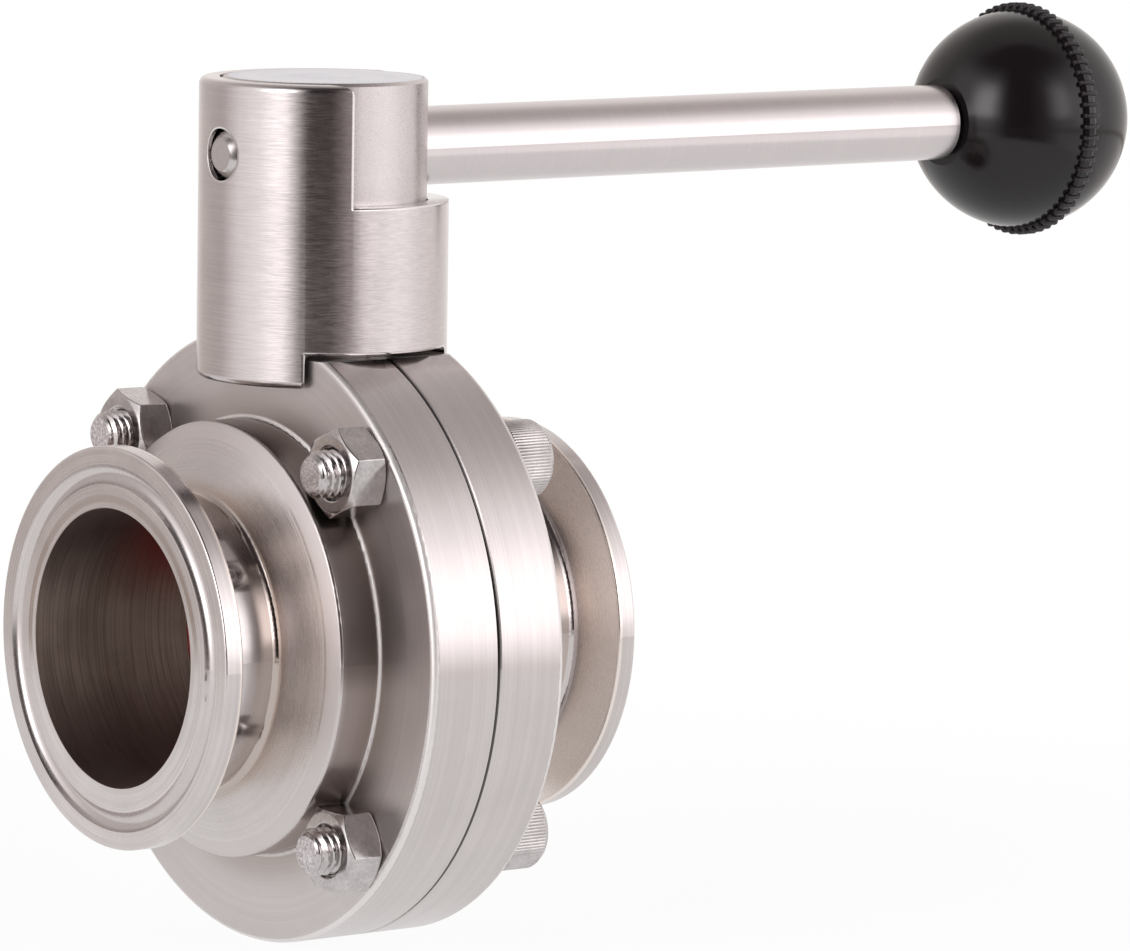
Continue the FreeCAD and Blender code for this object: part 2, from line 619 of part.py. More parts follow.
def handle_housing():
    body = new_body("handle_housing")
    plan = circle(sketch_on(body, "XY_Plane", HOUSING_FOOT), HOUSING_RADIUS, "0", CENTRE)
    pad = padded(body, plan, f"{HOUSING_TOP} - {HOUSING_FOOT}")
    foot_edge = edges_where(pad, lambda e: e.BoundBox.ZMax < size(HOUSING_FOOT) + 1e-6)
    rounded(body, pad, foot_edge, "housing_round")
    bore = circle(sketch_on(body, "XY_Plane", HOUSING_TOP), HOUSING_BORE, "0", CENTRE)
    pocketed(body, bore, f"{HOUSING_TOP} - {HOUSING_FLOOR}")
    drill = sketch_on(body, "XY_Plane", HOUSING_TOP)
    pocketed(body, circle(drill, "stem_radius + stem_hole_gap", "0", CENTRE))
    counterbore = circle(sketch_on(body, "XY_Plane"), "top_neck_radius + running_gap", "0", CENTRE)
    pocketed(body, counterbore, NECK_TOP, along_normal=True)

    # The fork: a slot across the foot, square to the flow, with small inner corners
    half = "(flange_thickness + fork_gap)"
    crown = f"{TOP_FLAT} + fork_crown"
    wide = f"{HOUSING_RADIUS} + fork_gap"
    plan = [(f"-({wide})", f"{CENTRE} - {half}"), (wide, f"{CENTRE} - {half}")]
    plan += [(wide, f"{CENTRE} + {half}"), (f"-({wide})", f"{CENTRE} + {half}")]
    slot = pocketed(body, outline(sketch_on(body, "XY_Plane"), plan), crown, along_normal=True)

    def inner_corner(edge):
        level = edge.BoundBox.ZLength < 1e-6 and abs(edge.BoundBox.ZMin - size(crown)) < 1e-6
        return level and edge.BoundBox.YLength < 1e-6

    rounded(body, slot, edges_where(slot, inner_corner), "fork_round")

    # The window, from the sill up, past both ends of the rod's quarter turn
    side = "rod_radius + window_gap"
    reach = f"{HOUSING_RADIUS} * 2"
    plan = [(f"-({side})", f"{CENTRE} - ({side})"), (reach, f"{CENTRE} - ({side})")]
    plan += [(reach, f"{CENTRE} + {reach}"), (f"-({side})", f"{CENTRE} + {reach}")]
    window_plan = outline(sketch_on(body, "XY_Plane", WINDOW_SILL), plan)
    window = pocketed(body, window_plan, along_normal=True)

    def window_end(edge, height):
        """Is the edge the level line of one of the window's ends at this height?"""
        level = edge.BoundBox.ZLength < 1e-6 and abs(edge.BoundBox.ZMin - size(height)) < 1e-6
        middle = edge.CenterOfMass - Vector(0, size(CENTRE), 0)
        off_end = min(abs(middle.x + size(side)), abs(middle.y + size(side)))
        return level and is_straight(edge) and off_end < 1e-6

    top_edges = edges_where(window, lambda e: window_end(e, HOUSING_TOP))
    softened = rounded(body, window, top_edges, "window_round")
    sill_edges = edges_where(softened, lambda e: window_end(e, WINDOW_SILL))
    rounded(body, softened, sill_edges, "sill_round")

    # The top's outer edge is turned round after the window, so that the window's sides stay sharp
    edge = sketch_on(body, "YZ_Plane", shift=CENTRE)
    inside = f"{HOUSING_RADIUS} - housing_round"
    below = f"{HOUSING_TOP} - housing_round"
    outside = f"{HOUSING_RADIUS} + housing_round"
    above = f"{HOUSING_TOP} + housing_round"
    corners = [
        (HOUSING_RADIUS, below),
        (outside, below),
        (outside, above),
        (inside, above),
        (inside, HOUSING_TOP),
    ]
    corner_with_arc(edge, corners, "housing_round", inside, below)
    spun(body, edge, cut=True)

    # Lock holes: open position towards the inlet, closed position a quarter turn away
    open_hole = circle(sketch_on(body, "XZ_Plane", f"-({CENTRE})"), LOCK_HOLE, "0", HANDLE_HEIGHT)
    pocketed(body, open_hole, HOUSING_RADIUS, along_normal=True)
    closed_hole = circle(sketch_on(body, "YZ_Plane"), LOCK_HOLE, CENTRE, HANDLE_HEIGHT)
    pocketed(body, closed_hole, HOUSING_RADIUS)


handle_housing()


# Turning head: carries the rod across the stem, keyed to the stem's square

def turning_head():
    body = new_body("turning_head")
    plan = circle(sketch_on(body, "XY_Plane", HEAD_BOTTOM), "head_radius", "0", CENTRE)
    pad = padded(body, plan, f"{HEAD_TOP} - {HEAD_BOTTOM}")
    top_edge = edges_where(pad, lambda e: e.BoundBox.ZMin > size(HEAD_TOP) - 1e-6)
    bevelled(body, pad, top_edge, "head_chamfer")
    recess = circle(sketch_on(body, "XY_Plane", HEAD_TOP), f"{COVER_RADIUS} + running_gap", "0", CENTRE)
    pocketed(body, recess, "cover_thickness")
    access = circle(sketch_on(body, "XY_Plane", HEAD_TOP), "screw_head_radius + access_gap", "0", CENTRE)
    pocketed(body, access, f"{HEAD_TOP} - {WEB_TOP}")

    half = "stem_square / 2 + square_gap"
    plan = [(f"-({half})", f"{CENTRE} - ({half})"), (half, f"{CENTRE} - ({half})")]
    plan += [(half, f"{CENTRE} + {half}"), (f"-({half})", f"{CENTRE} + {half}")]
    socket = outline(sketch_on(body, "XY_Plane", HEAD_BOTTOM), plan)
    pocketed(body, socket, "stem_square_height + square_roof", along_normal=True)

    # The fixing screw's hole with its countersink
    sink = "screw_head_radius - screw_radius"
    clear = "screw_radius + thread_gap"
    profile = [
        ("0", SOCKET_TOP + " - square_roof"),
        (clear, SOCKET_TOP + " - square_roof"),
        (clear, f"{WEB_TOP} - ({sink}) - screw_sink"),
        ("screw_head_radius + thread_gap", f"{WEB_TOP} - screw_sink"),
        ("screw_head_radius + thread_gap", f"{WEB_TOP} + screw_sink"),
        ("0", f"{WEB_TOP} + screw_sink"),
    ]
    spun(body, outline(sketch_on(body, "YZ_Plane", shift=CENTRE), profile), cut=True)

    # Guide of the rod on the handle's side, spring chamber on the lock pin's side
    guide = sketch_on(body, "XZ_Plane", f"-({CENTRE})")
    pocketed(body, circle(guide, "rod_radius + running_gap", "0", HANDLE_HEIGHT), "head_radius * 2")
    chamber = sketch_on(body, "XZ_Plane", f"-({CENTRE} + {SHOULDER})")
    circle(chamber, CHAMBER_RADIUS, "0", HANDLE_HEIGHT)
    pocketed(body, chamber, "head_radius * 2", along_normal=True)


turning_head()


def fixing_screw():
    """Countersunk screw that clamps the turning head down on the stem."""
    body = new_body("fixing_screw")
    top = f"{WEB_TOP} - screw_sink"
    foot = f"{top} - screw_length"
    profile = [
        ("0", foot),
        ("screw_radius - bolt_chamfer", foot),
        ("screw_radius", f"{foot} + bolt_chamfer"),
        ("screw_radius", f"{top} - (screw_head_radius - screw_radius)"),
        ("screw_head_radius", top),
        ("0", top),
    ]
    spun(body, outline(sketch_on(body, "YZ_Plane", shift=CENTRE), profile))
    angles = [60 * i for i in range(6)]
    corners = [
        (f"screw_key_radius * cos({a})", f"{CENTRE} + screw_key_radius * sin({a})") for a in angles
    ]
    drive = outline(sketch_on(body, "XY_Plane", top), corners)
    pocketed(body, drive, "screw_head_radius - screw_radius")


fixing_screw()

cover_foot = f"{HEAD_TOP} - cover_thickness"
cover = cylinder("head_cover", COVER_RADIUS, "cover_thickness", y=CENTRE, z=cover_foot)
finish(cover, "head_cover")


# Pull handle: rod, lock pin, spring and knob on one axis across the stem

def on_handle(profile):
    """Turns (radius, reach from the stem axis) pairs into points of the handle's own section."""
    return [(radius, f"{CENTRE} + {reach}") for radius, reach in profile]


def handle_turned(name, profile):
    """A piece turned on the handle's axis."""
    body = new_body(name)
    spun(body, outline(sketch_on(body, "XY_Plane"), on_handle(profile)))
    moved(body, "0", "0", HANDLE_HEIGHT)
    return body


def handle_rod():
    inner = f"-({COLLAR_BACK})"
    hole = "pin_stud_radius + thread_gap"
    hole_end = f"{inner} + pin_stud_length + tapping_room"
    stud_end = "rod_reach + stud_length"
    handle_turned("handle_rod", [
        (hole, inner),
        ("rod_radius", inner),
        ("rod_radius", "rod_reach - rod_chamfer"),
        ("rod_radius - rod_chamfer", "rod_reach"),
        ("stud_radius", "rod_reach"),
        ("stud_radius", f"{stud_end} - bolt_chamfer"),
        ("stud_radius - bolt_chamfer", stud_end),
        ("0", stud_end),
        ("0", f"{hole_end} + {hole}"),
        (hole, hole_end),
    ])


def lock_pin():
    """Collar and pin. It ends just inside the housing's bore, short of the lock hole."""
    back = f"-({COLLAR_BACK})"
    collar = f"{CHAMBER_RADIUS} - collar_gap"
    handle_turned("lock_pin", [
        ("0", f"-{PIN_END}"),
        ("pin_radius - pin_chamfer", f"-{PIN_END}"),
        ("pin_radius", f"-{PIN_END} + pin_chamfer"),
        ("pin_radius", f"-{COLLAR_FACE}"),
        (collar, f"-{COLLAR_FACE}"),
        (collar, back),
        ("pin_stud_radius", back),
        ("pin_stud_radius", f"{back} + pin_stud_length"),
        ("0", f"{back} + pin_stud_length"),
    ])


def pull_spring():
    """Coil round the rod, between the collar and the chamber's shoulder."""
    wire = "spring_wire_radius"
    room = f"{COLLAR_BACK} + {SHOULDER}"
    length = f"{room} - 2 * {wire} - 2 * running_gap"
    coil = doc.addObject("Part::Helix", "spring_line")
    bind(coil, Radius=SPRING_COIL, Pitch=f"({length}) / spring_turns", Height=length)
    coil.SegmentLength = 1
    along_rod = Rotation(Vector(1, 0, 0), -90)
    start = f"{CENTRE} - ({COLLAR_BACK}) + {wire} + running_gap"
    moved(coil, "0", start, HANDLE_HEIGHT, turn=along_rod)
    section = doc.addObject("Part::Circle", "spring_section")
    bind(section, Radius=wire)
    moved(section, SPRING_COIL, start, HANDLE_HEIGHT, turn=Rotation())
    doc.recompute()
    spring = doc.addObject("Part::Sweep", "pull_spring")
    spring.Sections = [section]
    spring.Spine = (coil, [f"Edge{i + 1}" for i in range(len(coil.Shape.Edges))])
    spring.Solid = True
    spring.Frenet = True
    finish(spring, "pull_spring")


def ball_knob():
    """Ball with a raised band round its middle and a flat where the rod's shoulder stands."""
    body = new_body("ball_knob")
    sketch = sketch_on(body, "XY_Plane")
    centre = Vector(0, size(f"{CENTRE} + {KNOB_CENTRE}"), 0)
    flat = Vector(size(KNOB_FLAT), size(f"{CENTRE} + rod_reach"), 0)
    start = math.atan2(flat.y - centre.y, flat.x - centre.x)
    ring = Part.Circle(centre, Vector(0, 0, 1), size("knob_radius"))
    arc = sketch.addGeometry(Part.ArcOfCircle(ring, start, math.pi / 2))
    hole_end = f"{CENTRE} + {INSERT_END} + running_gap"
    corners = [
        ("0", f"{CENTRE} + {KNOB_CENTRE} + knob_radius"),
        ("0", hole_end),
        (KNOB_HOLE, hole_end),
        (KNOB_HOLE, f"{CENTRE} + rod_reach"),
        (KNOB_FLAT, f"{CENTRE} + rod_reach"),
    ]
    places = [Vector(size(a), size(b), 0) for a, b in corners]
    lines = [sketch.addGeometry(Part.LineSegment(p, q)) for p, q in zip(places, places[1:])]
    for before, after in zip(lines, lines[1:]):
        sketch.addConstraint(Sketcher.Constraint("Coincident", before, 2, after, 1))
    for line, (across, up) in zip(lines[1:], corners[1:]):
        pin_point(sketch, line, 1, across, up)
    sketch.addConstraint(Sketcher.Constraint("Coincident", arc, 2, lines[0], 1))
    sketch.addConstraint(Sketcher.Constraint("Coincident", lines[-1], 2, arc, 1))
    pin_point(sketch, arc, 3, "0", f"{CENTRE} + {KNOB_CENTRE}")
    sketch.addConstraint(Sketcher.Constraint("PointOnObject", arc, 2, -2))
    sketch.addConstraint(Sketcher.Constraint("Horizontal", lines[-1]))
    rule = sketch.addConstraint(Sketcher.Constraint("Radius", arc, size("knob_radius")))
    sketch.setExpression(f"Constraints[{rule}]", bound("knob_radius"))
    spun(body, sketch)
    band = [
        ("knob_radius - knob_band_rise", f"{KNOB_CENTRE} - knob_band_width / 2"),
        ("knob_radius + knob_band_rise / 2", f"{KNOB_CENTRE} - knob_band_width / 2"),
        ("knob_radius + knob_band_rise", f"{KNOB_CENTRE} - knob_band_face / 2"),
        ("knob_radius + knob_band_rise", f"{KNOB_CENTRE} + knob_band_face / 2"),
        ("knob_radius + knob_band_rise / 2", f"{KNOB_CENTRE} + knob_band_width / 2"),
        ("knob_radius - knob_band_rise", f"{KNOB_CENTRE} + knob_band_width / 2"),
    ]
    spun(body, outline(sketch_on(body, "XY_Plane"), on_handle(band)))
    moved(body, "0", "0", HANDLE_HEIGHT)


handle_rod()
lock_pin()
pull_spring()
ball_knob()
handle_turned("knob_insert", [
    ("stud_radius + thread_gap", "rod_reach + running_gap"),
    ("stud_radius + thread_gap + insert_wall", "rod_reach + running_gap"),
    ("stud_radius + thread_gap + insert_wall", INSERT_END),
    ("0", INSERT_END),
    ("0", "rod_reach + stud_length + running_gap"),
    ("stud_radius + thread_gap", "rod_reach + stud_length + running_gap"),
])


# Check every object, then write one file for each sub-part

doc.recompute()
for item in doc.Objects:
    if "Invalid" in item.State or "Error" in item.State:
        raise RuntimeError(f"{item.Name} failed: {item.State}")
for item in parts:
    if item.Shape.isNull() or not item.Shape.isValid() or not item.Shape.Solids:
        raise RuntimeError(f"{item.Label} has no valid solid")

os.makedirs("parts", exist_ok=True)
for item in parts:
    item.Shape.exportStep(os.path.join("parts", item.Label + ".step"))
    print(item.Label, len(item.Shape.Solids), round(item.Shape.Volume, 1))
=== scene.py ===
import json
import math

import bpy
from bpy.props import FloatProperty, FloatVectorProperty, IntProperty, PointerProperty
from mathutils import Matrix, Vector


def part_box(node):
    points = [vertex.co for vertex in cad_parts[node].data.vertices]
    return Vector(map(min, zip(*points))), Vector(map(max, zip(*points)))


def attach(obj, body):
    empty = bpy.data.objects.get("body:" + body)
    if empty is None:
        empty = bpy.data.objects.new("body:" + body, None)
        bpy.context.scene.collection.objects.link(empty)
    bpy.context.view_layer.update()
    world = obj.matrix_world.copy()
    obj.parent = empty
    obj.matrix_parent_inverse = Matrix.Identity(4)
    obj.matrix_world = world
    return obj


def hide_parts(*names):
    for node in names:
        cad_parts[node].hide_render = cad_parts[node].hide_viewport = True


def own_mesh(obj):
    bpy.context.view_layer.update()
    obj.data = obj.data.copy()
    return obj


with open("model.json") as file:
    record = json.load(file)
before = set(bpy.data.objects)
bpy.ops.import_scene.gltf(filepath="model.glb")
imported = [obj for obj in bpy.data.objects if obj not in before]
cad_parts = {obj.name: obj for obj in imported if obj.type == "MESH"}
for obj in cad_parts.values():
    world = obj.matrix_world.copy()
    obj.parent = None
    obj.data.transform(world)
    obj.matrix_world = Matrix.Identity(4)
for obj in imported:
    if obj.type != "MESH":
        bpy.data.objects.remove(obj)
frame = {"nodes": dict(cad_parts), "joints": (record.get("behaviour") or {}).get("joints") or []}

bl_info = {
    "name": "Clamp Ferrule Butterfly Valve",
    "version": (1, 0, 0),
    "blender": (4, 5, 0),
    "location": "View3D > Sidebar > Valve",
    "description": "Steel finishes, cut threads, knurls, soft light and view for a bolted butterfly valve",
    "category": "Object",
}

MM = 0.001
NODES = frame["nodes"]
TURN = next(joint for joint in frame["joints"] if joint["name"] == "handle_turn")
STEM_Y = TURN["pos_m"][1]
SCREWS = sorted(name for name in NODES if name.startswith("body_screw"))
NUTS = sorted(name for name in NODES if name.startswith("body_nut"))


def middle(node):
    low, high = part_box(node)
    return (low + high) / 2


# Sizes and colours

def length(name, description, default):
    return FloatProperty(name=name, description=description, default=default, unit="LENGTH", precision=5)


def colour(name, description, default):
    return FloatVectorProperty(
        name=name, description=description, default=default, size=3, subtype="COLOR", min=0, max=1)


class ValveScrewSizes(bpy.types.PropertyGroup):
    pitch: length("Pitch", "Distance between two crests of the thread", 1.0 * MM)
    thread_depth: length("Thread depth", "Height of a crest above its root", 0.6 * MM)
    threaded: length("Threaded length", "Thread cut from the screw's end", 13 * MM)
    knurls: IntProperty(name="Knurls", description="Ridges round a screw's head", default=72, min=12)
    knurl_depth: length("Knurl depth", "Height of the ridges on a screw's head", 0.13 * MM)
    shank: length("Shank", "Radius of a screw's plain shank", 3.0 * MM)
    head_height: length("Head height", "Height of a screw's head", 6.0 * MM)
    socket: length("Socket", "From the axis to a corner of the head's hexagon socket", 2.9 * MM)
    socket_depth: length("Socket depth", "Depth of the head's hexagon socket", 3.0 * MM)
    nut_hole: length("Nut hole", "Radius of the hole through a nut", 3.06 * MM)
    nut_countersink: length("Nut countersink", "Bevel round the hole in a nut's face", 0.42 * MM)


class ValveHandleSizes(bpy.types.PropertyGroup):
    tip_reach: length("Tip reach", "From the stem's axis to the lock pin's flat end", 15.75 * MM)
    sill_drop: length("Sill drop", "From the rod's axis down to the window's sill", 6 * MM)
    window_side: length("Window side", "From the stem's axis to the window's ends", 5.74 * MM)
    fork_half: length("Fork half", "Half the width of the fork's slot", 10.7 * MM)
    fork_crown: length("Fork crown", "Height of the fork's slot above the flow axis", 36.75 * MM)
    lock_hole: length("Lock hole", "Radius of the lock holes", 3.27 * MM)
    tip_bevel: length("Tip bevel", "Bevel round the lock pin's end", 0.85 * MM)
    pin_radius: length("Pin radius", "Radius of the lock pin", 3.0 * MM)
    spring_wire: length("Spring wire", "Radius of the pull spring's wire", 0.4 * MM)
    spring_turns: FloatProperty(name="Spring turns", description="Turns of the pull spring", default=6.5)
    pull: length("Pull", "How far the handle is pulled to turn it", 4 * MM)
    ridges: IntProperty(name="Ridges", description="Ridges on the knob's band", default=64, min=24)
    ridge_height: length("Ridge height", "Height of a ridge above the band", 0.36 * MM)
    ridge_width: length("Ridge width", "Width of a ridge at its foot", 0.62 * MM)
    band_reach: length("Band reach", "From the knob's far end back to the middle of its band", 14.7 * MM)
    band_half: length("Band half", "Half the width of the knob's band", 1.15 * MM)


class ValveColours(bpy.types.PropertyGroup):
    steel: colour("Turned steel", "Body halves and disc", (0.645, 0.60, 0.59))
    satin: colour("Satin steel", "Housing, head and handle rod", (0.64, 0.592, 0.592))
    fastener: colour("Fasteners", "Screws and nuts", (0.61, 0.575, 0.57))
    cover: colour("Cover", "Disc on the turning head", (0.67, 0.675, 0.74))
    seat: colour("Seat", "Silicone seat ring", (0.30, 0.012, 0.008))
    knob: colour("Knob", "Moulded ball knob", (0.006, 0.0045, 0.0052))
    bush: colour("Bushes", "Polymer stem bushes", (0.86, 0.86, 0.84))
    brass: colour("Brass", "Threaded insert", (0.72, 0.52, 0.24))
    floor: colour("Floor", "Studio floor", (0.92, 0.92, 0.92))


class ValveView(bpy.types.PropertyGroup):
    azimuth: FloatProperty(name="Azimuth", description="Camera's bearing in degrees", default=53.083)
    elevation: FloatProperty(name="Elevation", description="Camera's height in degrees", default=7.256)
    roll: FloatProperty(name="Roll", description="Camera's tilt in degrees", default=0.921)
    distance: length("Distance", "From the camera to the point it looks at", 972.99 * MM)
    target: FloatVectorProperty(
        name="Target", description="Point that the camera looks at", subtype="TRANSLATION",
        default=(0, 70.024 * MM, 17.242 * MM))
    floor_reach: length("Floor reach", "Radius of the round floor", 0.27)
    lens: FloatProperty(name="Lens", description="Focal length in millimetres", default=239.14)


# Colours of marks, worn places and tones on the steel. The two edge colours are partly wear and partly
# painted highlight.

WORN_EDGE_AND_HIGHLIGHT = (0.86, 0.84, 0.83)
FILLET_WEAR_AND_HIGHLIGHT = (0.90, 0.88, 0.87)
LIGHTER_OUTER_CONE = (0.74, 0.69, 0.685)
WELD_TINT = (0.42, 0.33, 0.27)
SEAM = (0.05, 0.045, 0.045)
BORE_DARK = (0.31, 0.25, 0.215)
BORE_LIGHT = (0.64, 0.55, 0.48)
PIT = (0.42, 0.38, 0.38)
CUT_END = (0.78, 0.74, 0.75)

# Painted light, not marks: painted shade, a painted warm reflection and the seat's painted red
# reflection, laid into the base colour by place. The brass insert's end is painted black in the
# same way, as a painted shadow. They stay the same under any light, so they are the ones to take
# out for neutral metal.

FERRULE_BACK_REFLECTION = (0.90, 0.81, 0.74)
# Black for the brass insert's end by the rod: a painted shadow.
INSERT_END_SHADOW = (0.006, 0.005, 0.005)
# Painted shade on the flange's face beside the hub.
HUB_SIDE_SHADE = (0.34, 0.28, 0.25)
HUB_SHADE = (0.22, 0.185, 0.17)
BORE_SHADOW = (0.13, 0.09, 0.085)
SEAT_RED_REFLECTION = (0.42, 0.05, 0.045)

# The room that the steel mirrors: a bearing in degrees, 0 behind the camera and positive to its
# right, and the colour of the room there

ROOM = (
    (-180, (0.76, 0.73, 0.71)),
    (-140, (0.55, 0.51, 0.49)),
    (-104, (0.50, 0.465, 0.455)),
    (-84, (0.84, 0.81, 0.81)),
    (-66, (1.0, 0.98, 0.99)),
    (-35, (1.0, 0.97, 0.97)),
    (-14, (0.02, 0.015, 0.015)),
    (9, (0.02, 0.015, 0.015)),
    (25, (0.22, 0.19, 0.19)),
    (44, (0.80, 0.77, 0.77)),
    (70, (0.98, 0.95, 0.96)),
    (100, (0.92, 0.89, 0.89)),
    (135, (0.78, 0.75, 0.73)),
    (180, (0.76, 0.73, 0.71)),
)
CEILING = (0.36, 0.33, 0.32)
CEILING_IN_FRONT = (0.05, 0.042, 0.045)
SKIRTING = (0.26, 0.19, 0.14)


# Shading written as sums

class Level:
    """A number on its way through a node tree."""

    def __init__(self, graph, socket):
        self.graph = graph
        self.socket = socket

    def __add__(self, other):
        return self.graph.maths("ADD", self, other)

    def __mul__(self, other):
        return self.graph.maths("MULTIPLY", self, other)

    def __sub__(self, other):
        return self.graph.maths("SUBTRACT", self, other)

    def __rsub__(self, other):
        return self.graph.maths("SUBTRACT", other, self)

    def __truediv__(self, other):
        return self.graph.maths("DIVIDE", self, other)

    def __rtruediv__(self, other):
        return self.graph.maths("DIVIDE", other, self)

    def __abs__(self):
        return self.graph.maths("ABSOLUTE", self)

    __radd__ = __add__
    __rmul__ = __mul__


class Graph:
    """Builds the nodes of a material, a world or a geometry tree."""

    def __init__(self, tree):
        self.tree = tree
        tree.nodes.clear()

    def add(self, kind, settings=None, inputs=None, output=0):
        """Makes a node, sets it up, feeds its sockets and gives one of its outputs."""
        node = self.tree.nodes.new(kind)
        for name, value in (settings or {}).items():
            if name == "stops":
                self.set_stops(node.color_ramp.elements, value)
            else:
                setattr(node, name, value)
        for key, value in (inputs or {}).items():
            self.feed(node.inputs[key], value)
        return Level(self, node.outputs[output]) if node.outputs else node

    def set_stops(self, elements, stops):
        while len(elements) < len(stops):
            elements.new(1)
        for element, (place, shade) in zip(elements, stops):
            element.position = place
            element.color = (*shade, 1)

    def feed(self, socket, value):
        if isinstance(value, Level):
            self.tree.links.new(value.socket, socket)
        elif socket.type == "RGBA" and len(value) == 3:
            socket.default_value = (*value, 1)
        else:
            socket.default_value = value

    def maths(self, operation, *values, clamp=False):
        inputs = dict(enumerate(values))
        return self.add("ShaderNodeMath", {"operation": operation, "use_clamp": clamp}, inputs)

    def smooth(self, value, low, high):
        """Rises softly from 0 at low to 1 at high."""
        settings = {"interpolation_type": "SMOOTHSTEP"}
        return self.add("ShaderNodeMapRange", settings, {"Value": value, "From Min": low, "From Max": high})

    def blend(self, factor, first, second):
        """Mixes two colours."""
        return self.add("ShaderNodeMix", {"data_type": "RGBA"}, {0: factor, 6: first, 7: second}, 2)

    def vector(self, x, y, z):
        return self.add("ShaderNodeCombineXYZ", None, {0: x, 1: y, 2: z})

    def split(self, vector):
        parts = self.add("ShaderNodeSeparateXYZ", None, {0: vector})
        return [Level(self, socket) for socket in parts.socket.node.outputs]

    def noise(self, vector, scale=1.0, detail=2.0, roughness=0.5):
        inputs = {"Vector": vector, "Scale": scale, "Detail": detail, "Roughness": roughness}
        return self.add("ShaderNodeTexNoise", None, inputs)


class Finish(Graph):
    """A material with one Principled surface and patterns on the object's own coordinates."""

    def __init__(self, name):
        self.material = bpy.data.materials.new(name)
        self.material.use_nodes = True
        super().__init__(self.material.node_tree)
        self.place = self.add("ShaderNodeTexCoord", None, None, "Object")

    def centred(self, centre):
        """The object's coordinates as seen from a point."""
        away = self.add("ShaderNodeVectorMath", {"operation": "SUBTRACT"}, {0: self.place, 1: centre})
        return self.split(away)

    def around(self, axis, centre):
        """Radius, bearing and height about an axis: 0 for X, 1 for Y and 2 for Z."""
        parts = self.centred(centre)
        height = parts[axis]
        across, up = parts[(axis + 1) % 3], parts[(axis + 2) % 3]
        radius = self.maths("SQRT", across * across + up * up)
        bearing = self.maths("ARCTAN2", up, across)
        return radius, bearing, height

    def turning(self, axis, centre, spacing, wander=0.6):
        """Fine lines that run round an axis, as a lathe or a belt leaves them."""
        radius, bearing, height = self.around(axis, centre)
        lines = self.vector(radius / spacing, height / spacing, self.maths("SINE", bearing) * wander)
        return self.noise(lines, 1.0, 3.0, 0.65)

    def smudges(self, size=6 * MM):
        """Soft clouds of a size."""
        return self.noise(self.place, 1 / size, 3.0, 0.55)

    def surface(self, height=None, bump=0.0, depth=0.02 * MM, **inputs):
        """Closes the material. Sockets are named in lower case with underscores."""
        sockets = {name.replace("_", " ").title(): value for name, value in inputs.items()}
        if "Ior" in sockets:
            sockets["IOR"] = sockets.pop("Ior")
        if height is not None:
            relief = {"Height": height, "Strength": bump, "Distance": depth}
            sockets["Normal"] = self.add("ShaderNodeBump", None, relief)
        shader = self.add("ShaderNodeBsdfPrincipled", None, sockets)
        self.add("ShaderNodeOutputMaterial", None, {"Surface": shader})
        return self.material


def darker(shade, share):
    return tuple(channel * share for channel in shade)


def lighter(shade, share):
    return tuple(min(1, channel * share) for channel in shade)


def turned_steel(
        name, shade, axis, centre, spacing, rough, relief,
        contrast=0.10, wander=0.6, stretch=0.0, distance=None):
    """Stainless steel with lathe or belt lines round an axis.

    Where a function for the distance to an edge is given, the edges look worn and rounded, and their paler
    colour is partly wear and partly a painted highlight.
    """
    finish = Finish(name)
    lines = finish.turning(axis, centre, spacing, wander)
    broad = finish.turning(axis, centre, spacing * 9, wander * 0.5)
    cloud = finish.smudges()
    tone = finish.maths("ADD", lines * 0.75 + broad * 0.1, cloud * 0.3, clamp=True)
    dark = darker(shade, 1 - contrast * 2.0)
    bright = lighter(shade, 1 + contrast * 0.5)
    base = finish.blend(finish.smooth(tone, 0.35, 0.85), dark, bright)
    rows = finish.smooth(lines * 0.85 + broad * 0.15, 0.36, 0.64)
    roughness = rough * 0.78 + (rows * 0.75 + cloud * 0.25) * rough * 0.44
    height = lines * relief
    if distance is not None:
        width = 0.32 * MM
        edge = finish.maths("MAXIMUM", (width - distance(finish)) / width, 0.0)
        height = height - edge * edge * (width * 0.5)
        worn = finish.smooth(edge, 0.1, 0.8)
        # Paler edges: partly wear, partly a painted highlight.
        base = finish.blend(worn * 0.6, base, WORN_EDGE_AND_HIGHLIGHT)
        roughness = roughness * (1 - worn * 0.45)
    return finish.surface(
        height, 1.0, 1.0, base_color=base, metallic=1.0, roughness=roughness,
        anisotropic=stretch, anisotropic_rotation=0.25)


